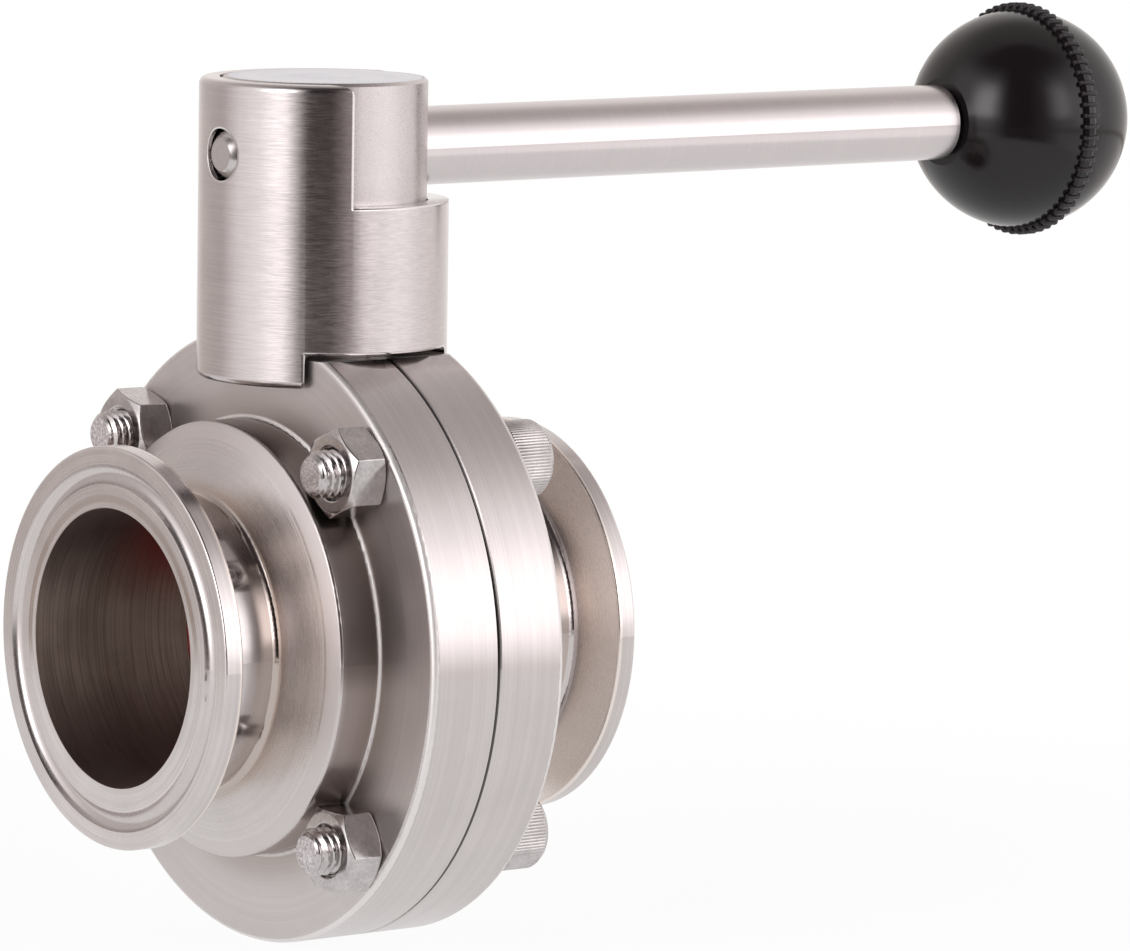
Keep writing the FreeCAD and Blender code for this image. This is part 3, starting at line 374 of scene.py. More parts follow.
class BodySteel(Finish):
    """Steel of the body halves, with a mask for each of their turned surfaces.

    A station is the distance along the flow from the nearer ferrule's face, since the two halves
    mirror each other.
    """

    def __init__(self, name, shade, reach):
        super().__init__(name)
        self.shade = shade
        self.reach = reach
        middle_line = (0, 0, 0)
        self.radius, _, along = self.around(1, middle_line)
        self.station = STEM_Y - abs(along - STEM_Y)
        self.height = self.centred(middle_line)[2]
        self.lines = self.turning(1, middle_line, 0.11 * MM, 0.9)
        self.broad = self.turning(1, middle_line, 0.9 * MM, 0.5)
        self.streaks = self.turning(1, middle_line, 0.22 * MM, 4.0)
        self.cloud = self.smudges(7 * MM)
        self.worn = self.smooth(self.streaks * 0.6 + self.lines * 0.2 + self.cloud * 0.2, 0.32, 0.68)
        self.inside = 1 - self.smooth(self.radius, reach["bore"] + 0.02 * MM, reach["bore"] + 0.08 * MM)
        self.past_cone = self.smooth(self.station, reach["hub_station"] - 0.5 * MM, reach["hub_station"])
        self.hub = self.near(reach["hub"])
        self.fillets = self.maths("MAXIMUM", self.flange_fillet(), self.hub_fillet())

    def near(self, size, width=0.12 * MM):
        """1 on the cylinder of a radius and 0 away from it."""
        return 1 - self.smooth(abs(self.radius - size), width, width * 2)

    def fillet(self, gap):
        """1 on the small fillet beside a cylinder, for the distance from the cylinder."""
        return self.smooth(gap, 0.01 * MM, 0.05 * MM) * (1 - self.smooth(gap, 0.4 * MM, 0.6 * MM))

    def flange_fillet(self):
        off_seam = self.smooth(STEM_Y - self.station, 1 * MM, 2 * MM)
        return self.fillet(self.reach["flange"] - self.radius) * off_seam

    def hub_fillet(self):
        edge = self.reach["hub_station"]
        at_flange = self.smooth(self.station, edge + 1 * MM, edge + 2 * MM)
        return self.fillet(abs(self.radius - self.reach["hub"])) * at_flange

    def turned_faces(self):
        """Lathe lines outside the bore, with the ferrules' faces a little lighter as painted light."""
        tone = self.smooth(self.lines * 0.5 + self.broad * 0.3 + self.cloud * 0.25, 0.35, 0.75)
        # Painted light: the ferrules' faces are lighter, as if less shaded than the flange's face.
        ferrules = 1 - self.smooth(self.station, 0.3 * MM, 0.6 * MM)
        pale = self.blend(ferrules, self.shade, lighter(self.shade, 1.16))
        return self.blend(tone, darker(self.shade, 0.86), pale)

    def bore(self):
        """Dull, brown lines, with painted shade at the top and bottom and a painted red reflection of the
        seat above.
        """
        size = self.reach["bore"]
        # Painted shade, darkest at the top and the bottom of the bore.
        shadow = self.smooth(abs(self.height + 1 * MM), size * 0.15, size * 0.85)
        # Painted red reflection of the seat on the upper bore.
        seat_reflection = self.smooth(self.station, 7 * MM, 20 * MM) * self.smooth(self.height, 0.0, size * 0.7)
        brown = self.blend(self.worn, BORE_DARK, BORE_LIGHT)
        brown = self.blend(shadow * 0.85, brown, BORE_SHADOW)
        return self.blend(seat_reflection * 0.85, brown, SEAT_RED_REFLECTION)

    def marks_and_painted_light(self):
        """Mask, strength and colour of each layer outside the bore, in the order they are laid on.

        Besides marks, they hold painted light: painted shade beside the hub and on its upper half, a
        painted warm reflection behind the ferrules, and fillets that are partly wear and partly painted
        highlight.
        """
        neck, hub, edge = (self.reach[key] for key in ("neck", "hub", "hub_station"))
        outside = 1 - self.inside
        cone = self.smooth(self.station, 8 * MM, 10 * MM) * (1 - self.past_cone) * outside
        # A lighter tone on the outer part of the hub's cone.
        outer_cone = self.smooth(self.radius, neck + 2.5 * MM, hub - 1 * MM) * cone
        weld = (1 - self.smooth(self.radius, neck + 0.5 * MM, neck + 2.4 * MM)) * cone
        # Painted shade on the flange's face within 6 mm of the hub.
        hub_side_shade = self.smooth(self.station, edge, edge + 1 * MM) * outside
        hub_side_shade = hub_side_shade * (1 - self.smooth(self.radius, hub, hub + 6 * MM))
        # Painted shade on the upper half of the hub's cylinder, for a dark reflection there.
        shaded_upper_hub = self.hub * self.past_cone * self.smooth(self.height, -4 * MM, 0.0)
        seam = self.smooth(self.radius, hub, hub + 1 * MM)
        seam = seam * (1 - self.smooth(STEM_Y - self.station, 0.16 * MM, 0.24 * MM))
        # Painted warm, pale reflection on the back of both ferrules.
        back = self.smooth(self.radius, neck + 0.6 * MM, neck + 1.6 * MM)
        back = back * self.smooth(self.station, 1.95 * MM, 2.2 * MM)
        back = back * (1 - self.smooth(self.station, 4.6 * MM, 5.2 * MM))
        return (
            (outer_cone, 0.25, LIGHTER_OUTER_CONE),
            (weld, 0.5, WELD_TINT),
            (hub_side_shade, 0.55, HUB_SIDE_SHADE),
            (shaded_upper_hub, 0.7, HUB_SHADE),
            (seam, 0.9, SEAM),
            # Paler fillets: partly wear, partly a painted highlight.
            (self.fillets, 0.6, FILLET_WEAR_AND_HIGHLIGHT),
            (back, 0.7, FERRULE_BACK_REFLECTION),
        )

    def close(self):
        """Bright cylinders, satin faces and a rough bore."""
        reach = self.reach
        cylinders = self.hub * self.past_cone
        for size, width in (("rim", 0.12 * MM), ("flange", 0.5 * MM), ("neck", 0.3 * MM)):
            cylinders = self.maths("MAXIMUM", cylinders, self.near(reach[size], width))
        face = 1 - cylinders
        rim_edge = 1 - self.smooth(reach["rim"] - self.radius, 0.3 * MM, 0.4 * MM)
        base = self.blend(self.inside, self.turned_faces(), self.bore())
        for mask, strength, shade in self.marks_and_painted_light():
            base = self.blend(mask * strength, base, shade)
        satin = 0.20 + self.lines * 0.08 + self.cloud * 0.06
        polished = 0.10 + self.cloud * 0.035 + self.hub * 0.04
        roughness = polished + (satin - polished) * face + self.inside * (0.30 + self.worn * 0.1)
        roughness = roughness + self.fillets * 0.27 + rim_edge * 0.10
        bump = face * 0.035 + self.inside * 0.08 + 0.008
        return self.surface(
            self.lines, bump, 0.02 * MM, base_color=base, metallic=1.0, roughness=roughness)


def bright_steel(name, shade, rough, end=None):
    """Cold formed fasteners: bright, a little uneven, with a dull, mottled end if one is given."""
    finish = Finish(name)
    fine = finish.noise(finish.place, 1 / (0.5 * MM), 4.0, 0.6)
    cloud = finish.smudges(2.5 * MM)
    base = finish.blend(finish.smooth(fine * 0.5 + cloud * 0.5, 0.3, 0.7), darker(shade, 0.72), shade)
    roughness = rough + (fine - 0.5) * 0.08 + cloud * 0.05
    height = fine * (0.0012 * MM)
    if end is not None:
        station = finish.centred((0, 0, 0))[1]
        cut = 1 - finish.smooth(station, end + 0.03 * MM, end + 0.12 * MM)
        pits = finish.noise(finish.place, 1 / (0.32 * MM), 3.0, 0.7)
        mottled = finish.blend(finish.smooth(pits, 0.35, 0.65), PIT, CUT_END)
        base = finish.blend(cut, base, mottled)
        roughness = roughness + cut * 0.3
        height = height + pits * cut * (0.012 * MM)
    return finish.surface(height, 1.0, 1.0, base_color=base, metallic=1.0, roughness=roughness)


def silicone(shade):
    """Matt rubber with faint clouds and a very fine grain."""
    finish = Finish("red_silicone")
    fine = finish.noise(finish.place, 1 / (0.2 * MM), 2.0)
    base = finish.blend(finish.smudges(3 * MM), darker(shade, 0.7), shade)
    return finish.surface(fine, 0.1, 0.01 * MM, base_color=base, roughness=0.42 + fine * 0.12, ior=1.41)


def moulding(name, shade, rough, specks):
    """Moulded plastic: an even colour with faint clouds and very fine specks."""
    finish = Finish(name)
    fine = finish.noise(finish.place, 1 / (0.25 * MM), 3.0, 0.6)
    cloud = finish.smudges(5 * MM)
    pale = tuple(min(1, channel * 1.35 + 0.002) for channel in shade)
    base = finish.blend(cloud, shade, pale)
    roughness = rough + finish.smooth(cloud, 0.45, 0.8) * rough * 0.5 + fine * rough * 0.3
    return finish.surface(fine, specks, 0.006 * MM, base_color=base, roughness=roughness, ior=1.41)


def plain_metal(name, shade, rough, shadowed_end=None):
    """Even metal, with a painted shadow if a place on the Y axis is given: the end up to there is black and
    not metal.
    """
    finish = Finish(name)
    fine = finish.noise(finish.place, 1 / (0.3 * MM), 3.0)
    base = finish.blend(fine, darker(shade, 0.8), shade)
    metal = 1.0
    if shadowed_end is not None:
        # The black end is a painted shadow for the dark ring round the rod.
        station = finish.centred((0, 0, 0))[1]
        metal = finish.smooth(station, shadowed_end + 0.2 * MM, shadowed_end + 0.6 * MM)
        base = finish.blend(metal, INSERT_END_SHADOW, base)
    height = fine * (0.001 * MM)
    return finish.surface(height, 1.0, 1.0, base_color=base, metallic=metal, roughness=rough + fine * 0.1)


# Meshes

def new_piece(name, verts, faces, smooth_angle=35):
    mesh = bpy.data.meshes.new(name)
    mesh.from_pydata([tuple(v) for v in verts], [], faces)
    mesh.update()
    piece = bpy.data.objects.new(name, mesh)
    bpy.context.scene.collection.objects.link(piece)
    mesh.shade_smooth()
    mesh.set_sharp_from_angle(angle=math.radians(smooth_angle))
    return piece


def rings_to_mesh(rows):
    """Joins rows of points, each once round, into a skin with a flat face on each end."""
    count = len(rows[0])
    verts = [point for row in rows for point in row]
    faces = []
    for k in range(len(rows) - 1):
        for i in range(count):
            j = (i + 1) % count
            faces.append((k * count + i, k * count + j, (k + 1) * count + j, (k + 1) * count + i))
    faces.append(tuple(reversed(range(count))))
    last = (len(rows) - 1) * count
    faces.append(tuple(last + i for i in range(count)))
    return verts, faces


def ring_row(radius, y, count, phase=0.0):
    """Points once round the Y axis. The radius may be a function of the angle."""
    row = []
    for i in range(count):
        angle = 2 * math.pi * i / count + phase
        reach = radius(angle) if callable(radius) else radius
        row.append(Vector((reach * math.cos(angle), y, -reach * math.sin(angle))))
    return row


def thread_height(turns):
    """Height of a crest, from 0 in the root to 1 on the crest, for a number of turns."""
    place = turns % 1.0
    rise = 1 - abs(place - 0.5) * 2
    return min(1.0, max(0.0, rise * 1.35 - 0.18))


def input_socket(tree, name, kind, default=None):
    socket = tree.interface.new_socket(name=name, in_out="INPUT", socket_type=kind)
    if default is not None:
        socket.default_value = default


def ring_tree():
    """Copies of a piece, evenly round the Y axis, each with its own X axis outwards."""
    tree = bpy.data.node_groups.new("Copies In A Ring", "GeometryNodeTree")
    input_socket(tree, "Geometry", "NodeSocketGeometry")
    input_socket(tree, "Piece", "NodeSocketObject")
    input_socket(tree, "Count", "NodeSocketInt", 4)
    input_socket(tree, "Radius", "NodeSocketFloat", 0.01)
    input_socket(tree, "Start", "NodeSocketFloat", 0.0)
    input_socket(tree, "Centre", "NodeSocketVector")
    input_socket(tree, "Material", "NodeSocketMaterial")
    tree.interface.new_socket(name="Geometry", in_out="OUTPUT", socket_type="NodeSocketGeometry")
    graph = Graph(tree)
    entry = graph.tree.nodes.new("NodeGroupInput")
    given = {socket.name: Level(graph, socket) for socket in entry.outputs if socket.name}
    size = {"Vertices": given["Count"], "Radius": given["Radius"]}
    circle = graph.add("GeometryNodeMeshCircle", None, size, "Mesh")
    tilt = graph.vector(math.pi / 2, given["Start"], 0.0)
    ring = graph.add("GeometryNodeTransform", None, {"Geometry": circle, "Rotation": tilt})
    place = graph.add("GeometryNodeInputPosition")
    settings = {"axis": "X", "pivot_axis": "Y"}
    aim = graph.add("FunctionNodeAlignRotationToVector", settings, {"Vector": place})
    piece = graph.add("GeometryNodeObjectInfo", None, {"Object": given["Piece"]}, "Geometry")
    inputs = {"Points": ring, "Instance": piece, "Rotation": aim}
    copies = graph.add("GeometryNodeInstanceOnPoints", None, inputs)
    solid = graph.add("GeometryNodeRealizeInstances", None, {"Geometry": copies})
    moved = graph.add("GeometryNodeTransform", None, {"Geometry": solid, "Translation": given["Centre"]})
    inputs = {"Geometry": moved, "Material": given["Material"]}
    dressed = graph.add("GeometryNodeSetMaterial", None, inputs)
    graph.add("NodeGroupOutput", None, {"Geometry": dressed})
    return tree


def ring_of(name, tree, piece, **values):
    """One plain mesh of copies of a piece, made by the ring tree."""
    holder = bpy.data.objects.new(name, bpy.data.meshes.new(name + "_empty"))
    bpy.context.scene.collection.objects.link(holder)
    modifier = holder.modifiers.new("Ring", "NODES")
    modifier.node_group = tree
    values["Piece"] = piece
    for item in tree.interface.items_tree:
        if item.in_out == "INPUT" and item.name in values:
            modifier[item.identifier] = values[item.name]
    bpy.context.view_layer.update()
    graph = bpy.context.evaluated_depsgraph_get()
    mesh = bpy.data.meshes.new_from_object(holder.evaluated_get(graph), depsgraph=graph)
    holder.modifiers.remove(modifier)
    holder.data = mesh
    mesh.name = name
    bpy.data.objects.remove(piece)
    return holder


def towards(azimuth, elevation):
    """Direction of a bearing from -Y, turning to +X, and of a height above the floor."""
    level = math.cos(elevation)
    return Vector((math.sin(azimuth) * level, -math.cos(azimuth) * level, math.sin(elevation)))


def dress(node, material):
    """Gives a node of the frame its finish."""
    mesh = NODES[node].data
    mesh.materials.clear()
    mesh.materials.append(material)


# Operators, one for each piece or group of pieces

class VALVE_OT_body_finishes(bpy.types.Operator):
    """Turned steel on the body halves and the disc, silicone on the seat, polymer on the bushes"""
    bl_idname = "valve.body_finishes"
    bl_label = "Body Finishes"

    def rings(self):
        """Radii of the body's turned surfaces and the hub's station, from the inlet half's mesh.

        Points high up, where the stem's hole cuts the turned shape, are left out.
        """
        places = [v.co for v in NODES["body_half_inlet"].data.vertices]
        turned = [(math.hypot(co.x, co.z), co.y) for co in places if co.z < 20 * MM]

        def widest(low, high):
            return max(radius for radius, y in turned if low * MM <= y <= high * MM)

        hub = widest(14, 20)
        bore = min(radius for radius, y in turned if y < 0.01 * MM)
        return {
            "bore": bore,
            "rim": widest(0, 2.5),
            "neck": min(radius for radius, y in turned if y < 12 * MM and radius > bore + 0.5 * MM),
            "hub": hub,
            "hub_station": min(y for radius, y in turned if radius > hub - 0.02 * MM and y > 6 * MM),
            "flange": widest(20, 32),
        }

    def execute(self, context):
        tints = context.scene.valve_colours
        body = BodySteel("turned_steel", tuple(tints.steel), self.rings()).close()
        for node in ("body_half_inlet", "body_half_outlet"):
            dress(node, body)
        disc = turned_steel("disc_steel", tuple(tints.steel), 0, (0, STEM_Y, 0), 0.2 * MM, 0.16, 0.001 * MM)
        dress("disc_and_stem", disc)
        dress("seat_ring", silicone(tuple(tints.seat)))
        bush = moulding("white_polymer", tuple(tints.bush), 0.45, 0.05)
        for node in ("upper_stem_bush", "lower_stem_bush"):
            dress(node, bush)
        return {"FINISHED"}


class VALVE_OT_handle_finishes(bpy.types.Operator):
    """Belt brushed steel on the housing and head, ground rod, glossy knob, brass insert"""
    bl_idname = "valve.handle_finishes"
    bl_label = "Handle Finishes"

    def housing_edges(self, finish):
        """Distance on the housing's skin to the window, the fork and the lock holes."""
        sizes = bpy.context.scene.valve_handle
        height = middle("handle_rod").z
        sill = height - sizes.sill_drop
        x, y, z = finish.centred((0, STEM_Y, 0))

        def past(value):
            return finish.maths("MAXIMUM", value, 0.0)

        def apart(*gaps):
            total = sum((gap * gap for gap in gaps[1:]), gaps[0] * gaps[0])
            return finish.maths("SQRT", total)

        side = -sizes.window_side
        window = apart(past(side - x), past(side - y), past(sill - z))
        fork = apart(past(abs(y) - sizes.fork_half), past(z - sizes.fork_crown))
        level = z - height
        open_hole = abs(apart(x, level) - sizes.lock_hole) + past(y) * 100
        closed_hole = abs(apart(y, level) - sizes.lock_hole) + past(x) * 100
        nearest = finish.maths("MINIMUM", window, fork)
        return finish.maths("MINIMUM", nearest, finish.maths("MINIMUM", open_hole, closed_hole))

    def execute(self, context):
        tints = context.scene.valve_colours
        stem = (0, STEM_Y, 0)
        rod_line = (0, 0, middle("handle_rod").z)
        satin = tuple(tints.satin)
        housing = turned_steel(
            "brushed_housing", satin, 2, stem, 0.07 * MM, 0.22, 0.0030 * MM,
            contrast=0.08, wander=11.0, stretch=0.7, distance=self.housing_edges)
        dress("handle_housing", housing)
        head = turned_steel(
            "fine_head", satin, 2, stem, 0.14 * MM, 0.32, 0.0055 * MM,
            contrast=0.09, wander=60.0, stretch=0.3)
        dress("turning_head", head)
        cover = turned_steel(
            "smooth_cover", tuple(tints.cover), 2, stem, 2.5 * MM, 0.30, 0.0001 * MM, contrast=0.02)
        dress("head_cover", cover)
        rod = turned_steel(
            "ground_rod", satin, 1, rod_line, 0.1 * MM, 0.20, 0.001 * MM, contrast=0.03)
        dress("handle_rod", rod)
        dress("lock_pin", rod)
        dress("fixing_screw", bright_steel("fixing_steel", tuple(tints.fastener), 0.25))
        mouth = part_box("knob_insert")[0].y
        # The insert's end by the rod is painted black as a painted shadow.
        dress("knob_insert", plain_metal("turned_brass", tuple(tints.brass), 0.3, mouth))
        dress("ball_knob", moulding("black_phenolic", tuple(tints.knob), 0.13, 0.02))
        return {"FINISHED"}


class VALVE_OT_body_screws(bpy.types.Operator):
    """Socket head screws with cut threads and knurled heads in place of the plain ones"""
    bl_idname = "valve.body_screws"
    bl_label = "Body Screws"

    def shank_rows(self, sizes, end, seat):
        """Rings from the shank's bevelled end, through the thread, to the head's underside."""
        steps = 48
        bevel = 0.55 * MM
        chamfer = 0.28 * MM
        root = sizes.shank - sizes.thread_depth
        first = end + chamfer
        plain = end + sizes.threaded
        samples = int(sizes.threaded / sizes.pitch * 10)
        rows = [ring_row(root - 0.3 * MM, end, steps)]
        rows.append(ring_row(root - 0.02 * MM, first - 0.02 * MM, steps))
        for k in range(samples + 1):
            y = first + (plain - first) * k / samples

            def crest(angle, y=y):
                turns = (y - end) / sizes.pitch - angle / (2 * math.pi)
                edge = min(1.0, max(0.0, (y - first) / bevel))
                fade = min(1.0, max(0.0, (plain - y) / sizes.pitch))
                reach = root + sizes.thread_depth * thread_height(turns) * edge
                return reach * fade + sizes.shank * (1 - fade)

            rows.append(ring_row(crest, y, steps))
        rows.append(ring_row(sizes.shank, seat, steps))
        return rows

    def head_rows(self, sizes, cap, seat, top):
        """Rings from the underside of the knurled head to the floor of its hexagon socket."""
        steps = sizes.knurls * 4
        edge = 0.5 * MM
        root = cap - sizes.knurl_depth
        sector = math.pi / 3

        def knurled(angle):
            return root + sizes.knurl_depth * abs(math.sin(angle * sizes.knurls / 2))

        def hexagon(angle):
            return sizes.socket * math.cos(sector / 2) / math.cos((angle % sector) - sector / 2)

        profile = (
            (sizes.shank * 0.5, seat),
            (cap - edge * 0.6, seat),
            (root, seat + edge * 0.4),
            (knurled, seat + edge * 0.9),
            (knurled, top - edge * 1.5),
            (root, top - edge * 1.1),
            (cap - edge * 0.9, top - edge * 0.15),
            (cap - edge * 1.3, top),
            (hexagon, top),
            (hexagon, top - sizes.socket_depth),
        )
        return [ring_row(radius, y, steps) for radius, y in profile]

    def execute(self, context):
        sizes = context.scene.valve_screws
        low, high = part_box(SCREWS[0])
        centre = (low + high) / 2
        cap = (high.x - low.x) / 2
        seat = high.y - sizes.head_height
        verts, faces = rings_to_mesh(self.shank_rows(sizes, low.y, seat))
        head_verts, head_faces = rings_to_mesh(self.head_rows(sizes, cap, seat, high.y))
        shift = len(verts)
        verts += head_verts
        faces += [tuple(shift + i for i in face) for face in head_faces]
        unit = new_piece("screw_unit", verts, faces, 40)
        steel = bright_steel("bright_fastener", tuple(context.scene.valve_colours.fastener), 0.12, low.y)
        screws = ring_of(
            "body_screws", ring_tree(), unit, Count=len(SCREWS), Radius=math.hypot(centre.x, centre.z),
            Start=math.pi / 4, Centre=(0, 0, 0), Material=steel)
        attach(screws, "valve_body")
        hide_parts(*SCREWS)
        return {"FINISHED"}


class VALVE_OT_body_nuts(bpy.types.Operator):
    """Hexagon nuts with curved bevels and a countersunk hole, each turned as its plain nut is"""
    bl_idname = "valve.body_nuts"
    bl_label = "Body Nuts"

    def nut_mesh(self, node, sizes):
        low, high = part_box(node)
        centre = (low + high) / 2
        places = [v.co - centre for v in NODES[node].data.vertices]
        corner = max(places, key=lambda co: math.hypot(co.x, co.z))
        turn = math.atan2(-corner.z, corner.x)
        sector = math.pi / 3
        flat = math.hypot(corner.x, corner.z) * math.cos(sector / 2)
        per_side = 24
        count = 6 * per_side
        slope = math.tan(math.radians(30))
        face_reach = flat * 0.955
        hole = sizes.nut_hole

        def side(angle):
            return flat / math.cos(((angle - turn) % sector) - sector / 2)

        def bevel(angle):
            return (side(angle) - face_reach) * slope

        def row(radius, depth, from_front=True):
            points = ring_row(radius, 0, count, turn)
            for i, point in enumerate(points):
                inset = depth(2 * math.pi * i / count + turn) if callable(depth) else depth
                point.y = low.y + inset if from_front else high.y - inset
            return points

        rows = [row(hole, 0, False), row(hole, 0.5 * MM)]
        rows += [row(hole + sizes.nut_countersink, 0), row(face_reach, 0), row(side, bevel)]
        rows += [row(side, bevel, False), row(face_reach, 0, False)]
        verts = [point + Vector((centre.x, 0, centre.z)) for line in rows for point in line]
        faces = []
        for k in range(len(rows)):
            after = (k + 1) % len(rows)
            for i in range(count):
                j = (i + 1) % count
                faces.append((k * count + i, k * count + j, after * count + j, after * count + i))
        return verts, faces

    def execute(self, context):
        sizes = context.scene.valve_screws
        steel = bright_steel("nut_steel", tuple(context.scene.valve_colours.fastener), 0.16)
        for node in NUTS:
            verts, faces = self.nut_mesh(node, sizes)
            nut = new_piece(node + "_fine", verts, faces, 20)
            rounding = nut.modifiers.new("Worn Edges", "BEVEL")
            rounding.width = 0.09 * MM
            rounding.segments = 2
            rounding.limit_method = "ANGLE"
            rounding.angle_limit = math.radians(24)
            nut.data.materials.append(steel)
            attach(nut, "valve_body")
            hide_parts(node)
        return {"FINISHED"}


class VALVE_OT_lock_tip(bpy.types.Operator):
    """End of the lock pin that shows in the housing's hole"""
    bl_idname = "valve.lock_tip"
    bl_label = "Lock Pin Tip"

    def execute(self, context):
        sizes = context.scene.valve_handle
        low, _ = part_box("lock_pin")
        centre = middle("lock_pin")
        radius = sizes.pin_radius
        bevel = sizes.tip_bevel
        start = low.y - 0.02 * MM
        end = STEM_Y - sizes.tip_reach
        profile = (
            (radius - bevel - 0.12 * MM, end),
            (radius - bevel, end + 0.12 * MM),
            (radius - 0.06 * MM, end + bevel),
            (radius, end + bevel + 0.1 * MM),
            (radius, start - 0.6 * MM),
            (radius - 0.6 * MM, start + 0.02 * MM),
        )
        aside = Vector((centre.x, 0, centre.z))
        rows = [[point + aside for point in ring_row(reach, y, 64)] for reach, y in profile]
        tip = new_piece("lock_pin_tip", *rings_to_mesh(rows), 30)
        steel = turned_steel(
            "pin_steel", tuple(context.scene.valve_colours.fastener), 1, (0, 0, centre.z),
            0.08 * MM, 0.22, 0.0016 * MM, contrast=0.05)
        tip.data.materials.append(steel)
        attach(tip, "pull_handle")
        return {"FINISHED"}


class VALVE_OT_pull_spring(bpy.types.Operator):
    """Pull spring with closed ends, at one fixed length; in the valve the pull presses it together"""
    bl_idname = "valve.pull_spring"
    bl_label = "Pull Spring"

    def execute(self, context):
        sizes = context.scene.valve_handle
        low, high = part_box("pull_spring")
        centre = middle("pull_spring")
        wire = sizes.spring_wire
        coil = (high.x - low.x) / 2 - wire
        turns = sizes.spring_turns
        closed = 0.9
        pitch = (high.y - low.y - 2 * wire - 4 * closed * wire) / (turns - 2 * closed)
        per_turn = 40
        per_ring = 12
        steps = int(turns * per_turn)
        sides = [2 * math.pi * i / per_ring for i in range(per_ring)]
        rows = []
        for k in range(steps + 1):
            turn = turns * k / steps
            flat_turns = min(turn, closed) + max(0, turn - turns + closed)
            reach = low.y + wire + flat_turns * 2 * wire + (turn - flat_turns) * pitch
            bearing = 2 * math.pi * turn
            outward = Vector((math.cos(bearing), 0, math.sin(bearing)))
            point = Vector((centre.x, reach, centre.z))
            rows.append([
                point + outward * (coil + wire * math.cos(side)) + Vector((0, wire * math.sin(side), 0))
                for side in sides])
        spring = new_piece("pull_spring_fine", *rings_to_mesh(rows), 50)
        steel = plain_metal("spring_wire", tuple(context.scene.valve_colours.fastener), 0.3)
        dress("pull_spring", steel)
        spring.data.materials.append(steel)
        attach(spring, "turning_disc")
        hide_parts("pull_spring")
        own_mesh(spring)
        return {"FINISHED"}


class VALVE_OT_knob_band(bpy.types.Operator):
    """Fine ridges across the knob's raised band"""
    bl_idname = "valve.knob_band"
    bl_label = "Knob Band"

    def execute(self, context):
        sizes = context.scene.valve_handle
        low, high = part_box("ball_knob")
        reach = (high.z - low.z) / 2
        centre = (0, high.y - sizes.band_reach, (low.z + high.z) / 2)
        foot = -0.5 * MM
        half_width = sizes.ridge_width / 2
        across = [math.radians(bearing) for bearing in range(0, 181, 30)]
        rows = []
        for along, top in ((1, 0.1), (0.86, 0.7), (0.6, 1), (-0.6, 1), (-0.86, 0.7), (-1, 0.1)):
            place = along * sizes.band_half
            dip = (1 - top) * 0.3 * MM
            arch = [(math.sin(a) * sizes.ridge_height - dip, -math.cos(a) * half_width) for a in across]
            outline = [(foot, -half_width), *arch, (foot, half_width)]
            rows.append([Vector((rise, place, aside)) for rise, aside in outline])
        unit = new_piece("ridge_unit", *rings_to_mesh(rows), 50)
        # The ridges get the knob's colour made lighter: a painted highlight on the same plastic.
        shade = lighter(context.scene.valve_colours.knob, 2.4)
        plastic = moulding("ridge_phenolic_painted_highlight", shade, 0.3, 0.02)
        ridges = ring_of(
            "knob_ridges", ring_tree(), unit, Count=sizes.ridges, Radius=reach,
            Start=0.0, Centre=centre, Material=plastic)
        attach(ridges, "pull_handle")
        return {"FINISHED"}


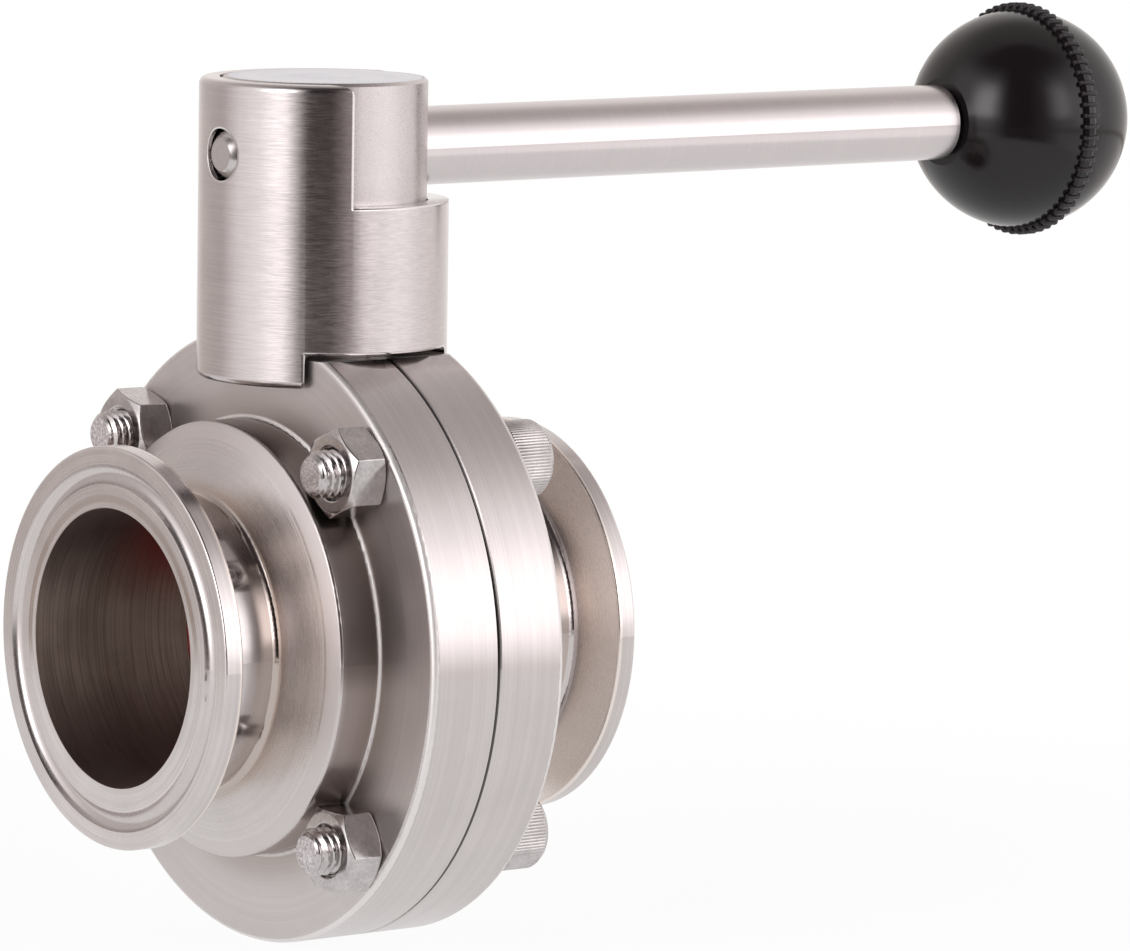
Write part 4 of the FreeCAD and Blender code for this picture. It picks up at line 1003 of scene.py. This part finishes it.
class VALVE_OT_stage(bpy.types.Operator):
    """Pale floor, soft lamps, world and camera"""
    bl_idname = "valve.stage"
    bl_label = "Stage"

    def execute(self, context):
        scene = context.scene
        scene.view_settings.view_transform = "Standard"
        self.add_floor(scene)
        self.add_world(scene)
        self.add_lamps(scene)
        self.add_camera(scene)
        return {"FINISHED"}

    def add_floor(self, scene):
        low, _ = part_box("body_half_inlet")
        level = low.z - 0.05 * MM
        reach = scene.valve_view.floor_reach
        steps = 128
        angles = [2 * math.pi * i / steps for i in range(steps)]
        rim = [(reach * math.cos(angle), STEM_Y + reach * math.sin(angle), level) for angle in angles]
        floor = new_piece("floor", rim, [tuple(range(steps))])
        paint = Finish("floor_paint")
        grain = paint.noise(paint.place, 30.0)
        shade = tuple(scene.valve_colours.floor)
        colour = paint.blend(grain, darker(shade, 0.97), shade)
        matt = paint.add("ShaderNodeBsdfDiffuse", None, {"Color": colour})
        glow = paint.add("ShaderNodeEmission", None, {"Color": (1, 1, 1), "Strength": 1.0})
        rays = paint.add("ShaderNodeLightPath").socket.node.outputs
        seen = Level(paint, rays["Is Camera Ray"]) * 0.94
        mirrored = Level(paint, rays["Is Glossy Ray"]) + Level(paint, rays["Is Transmission Ray"])
        edge = paint.smooth(paint.around(2, (0, STEM_Y, 0))[0], reach * 0.35, reach * 0.92)
        seen = seen + (1 - seen) * edge * Level(paint, rays["Is Camera Ray"])
        share = paint.maths("MINIMUM", seen + mirrored * 0.75, 1.0)
        mixed = paint.add("ShaderNodeMixShader", None, {0: share, 1: matt, 2: glow})
        paint.add("ShaderNodeOutputMaterial", None, {"Surface": mixed})
        floor.data.materials.append(paint.material)

    def add_world(self, scene):
        """White to the camera.

        Steel and plastic mirror a pale room with one dark gap and a dark ceiling. Two soft boxes
        and a paler panel stand in it, and a thin brown line runs round it.
        """
        world = bpy.data.worlds.new("studio")
        world.use_nodes = True
        scene.world = world
        graph = Graph(world.node_tree)
        x, y, z = graph.split(graph.add("ShaderNodeTexCoord", None, None, "Generated"))
        bearing = math.radians(scene.valve_view.azimuth)
        ahead = x * math.sin(bearing) - y * math.cos(bearing)
        across = x * math.cos(bearing) + y * math.sin(bearing)
        turned = graph.maths("ARCTAN2", across, ahead) * (180 / math.pi)

        def between(value, low, full, fall, end):
            return graph.smooth(value, low, full) * (1 - graph.smooth(value, fall, end))

        stops = [((turn + 180) / 360, shade) for turn, shade in ROOM]
        walls = graph.add("ShaderNodeValToRGB", {"stops": stops}, {0: (turned + 180) / 360})
        front = 1 - graph.smooth(abs(turned), 60.0, 110.0)
        overhead = graph.blend(front, CEILING, CEILING_IN_FRONT)
        tint = graph.blend(graph.smooth(z, 0.58, 0.88), walls, overhead)
        left = between(turned, -64.0, -42.0, -34.0, -16.0)
        right = between(turned, 20.0, 40.0, 46.0, 64.0)
        boxes = (left * 4.2 + right * 2.4) * between(z, 0.0, 0.16, 0.42, 0.72)
        panel = between(turned, 52.0, 66.0, 84.0, 104.0) * between(z, -0.10, 0.06, 0.30, 0.62)
        line = 1 - graph.smooth(abs(z + 0.150), 0.012, 0.022)
        tint = graph.blend(line * 0.8, tint, SKIRTING)
        level = 1.3 + boxes + panel * 0.75
        rays = graph.add("ShaderNodeLightPath").socket.node.outputs
        seen = Level(graph, rays["Is Camera Ray"])
        shade = graph.blend(seen, tint, (1, 1, 1))
        strength = level * (1 - seen) + seen
        sky = graph.add("ShaderNodeBackground", None, {"Color": shade, "Strength": strength})
        graph.add("ShaderNodeOutputWorld", None, {"Surface": sky})

    def add_lamps(self, scene):
        """Two tall soft boxes, one each side of the camera."""
        aim = Vector((0, 70 * MM, 20 * MM))
        distance = 1.0
        wide = 0.50
        tall = 0.62
        radiance = 1.7
        for name, turn, rise in (("left_box", -44, 26), ("right_box", 54, 22)):
            away = towards(math.radians(scene.valve_view.azimuth + turn), math.radians(rise))
            data = bpy.data.lights.new(name, "AREA")
            data.shape = "RECTANGLE"
            data.size = wide
            data.size_y = tall
            data.energy = radiance * math.pi * wide * tall
            lamp = bpy.data.objects.new(name, data)
            lamp.location = aim + away * distance
            lamp.rotation_euler = away.to_track_quat("Z", "Y").to_euler()
            lamp.visible_glossy = False
            scene.collection.objects.link(lamp)

    def add_camera(self, scene):
        view = scene.valve_view
        azimuth, elevation, roll = (math.radians(a) for a in (view.azimuth, view.elevation, view.roll))
        away = towards(azimuth, elevation)
        right = (-away).cross(Vector((0, 0, 1))).normalized()
        up = right.cross(-away)
        tilted_right = right * math.cos(roll) + up * math.sin(roll)
        tilted_up = up * math.cos(roll) - right * math.sin(roll)
        data = bpy.data.cameras.new("camera")
        data.lens = view.lens
        data.sensor_width = 36
        data.sensor_fit = "HORIZONTAL"
        data.clip_start = 0.01
        camera = bpy.data.objects.new("camera", data)
        matrix = Matrix((tilted_right, tilted_up, away)).transposed().to_4x4()
        matrix.translation = Vector(view.target) + away * view.distance
        camera.matrix_world = matrix
        scene.collection.objects.link(camera)
        scene.camera = camera


class VALVE_PT_pieces(bpy.types.Panel):
    """Lists the valve's pieces and their sizes"""
    bl_label = "Butterfly Valve"
    bl_idname = "VALVE_PT_pieces"
    bl_space_type = "VIEW_3D"
    bl_region_type = "UI"
    bl_category = "Valve"

    def draw(self, context):
        layout = self.layout
        for operator in OPERATORS:
            layout.operator(operator.bl_idname)
        for group in GROUPS:
            values = getattr(context.scene, group)
            box = layout.box()
            for name in values.bl_rna.properties.keys():
                if name not in ("rna_type", "name"):
                    box.prop(values, name)


GROUPS = {
    "valve_screws": ValveScrewSizes,
    "valve_handle": ValveHandleSizes,
    "valve_colours": ValveColours,
    "valve_view": ValveView,
}
OPERATORS = (
    VALVE_OT_body_finishes,
    VALVE_OT_handle_finishes,
    VALVE_OT_body_screws,
    VALVE_OT_body_nuts,
    VALVE_OT_lock_tip,
    VALVE_OT_pull_spring,
    VALVE_OT_knob_band,
    VALVE_OT_stage,
)


def register():
    for group in GROUPS.values():
        bpy.utils.register_class(group)
    for name, group in GROUPS.items():
        setattr(bpy.types.Scene, name, PointerProperty(type=group))
    for item in (*OPERATORS, VALVE_PT_pieces):
        bpy.utils.register_class(item)


def unregister():
    for item in reversed((*OPERATORS, VALVE_PT_pieces)):
        bpy.utils.unregister_class(item)
    for name, group in GROUPS.items():
        delattr(bpy.types.Scene, name)
        bpy.utils.unregister_class(group)


def main():
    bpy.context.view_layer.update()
    register()
    bpy.ops.valve.body_finishes()
    bpy.ops.valve.handle_finishes()
    bpy.ops.valve.body_screws()
    bpy.ops.valve.body_nuts()
    bpy.ops.valve.lock_tip()
    bpy.ops.valve.pull_spring()
    bpy.ops.valve.knob_band()
    bpy.ops.valve.stage()


if __name__ == "__main__":
    main()
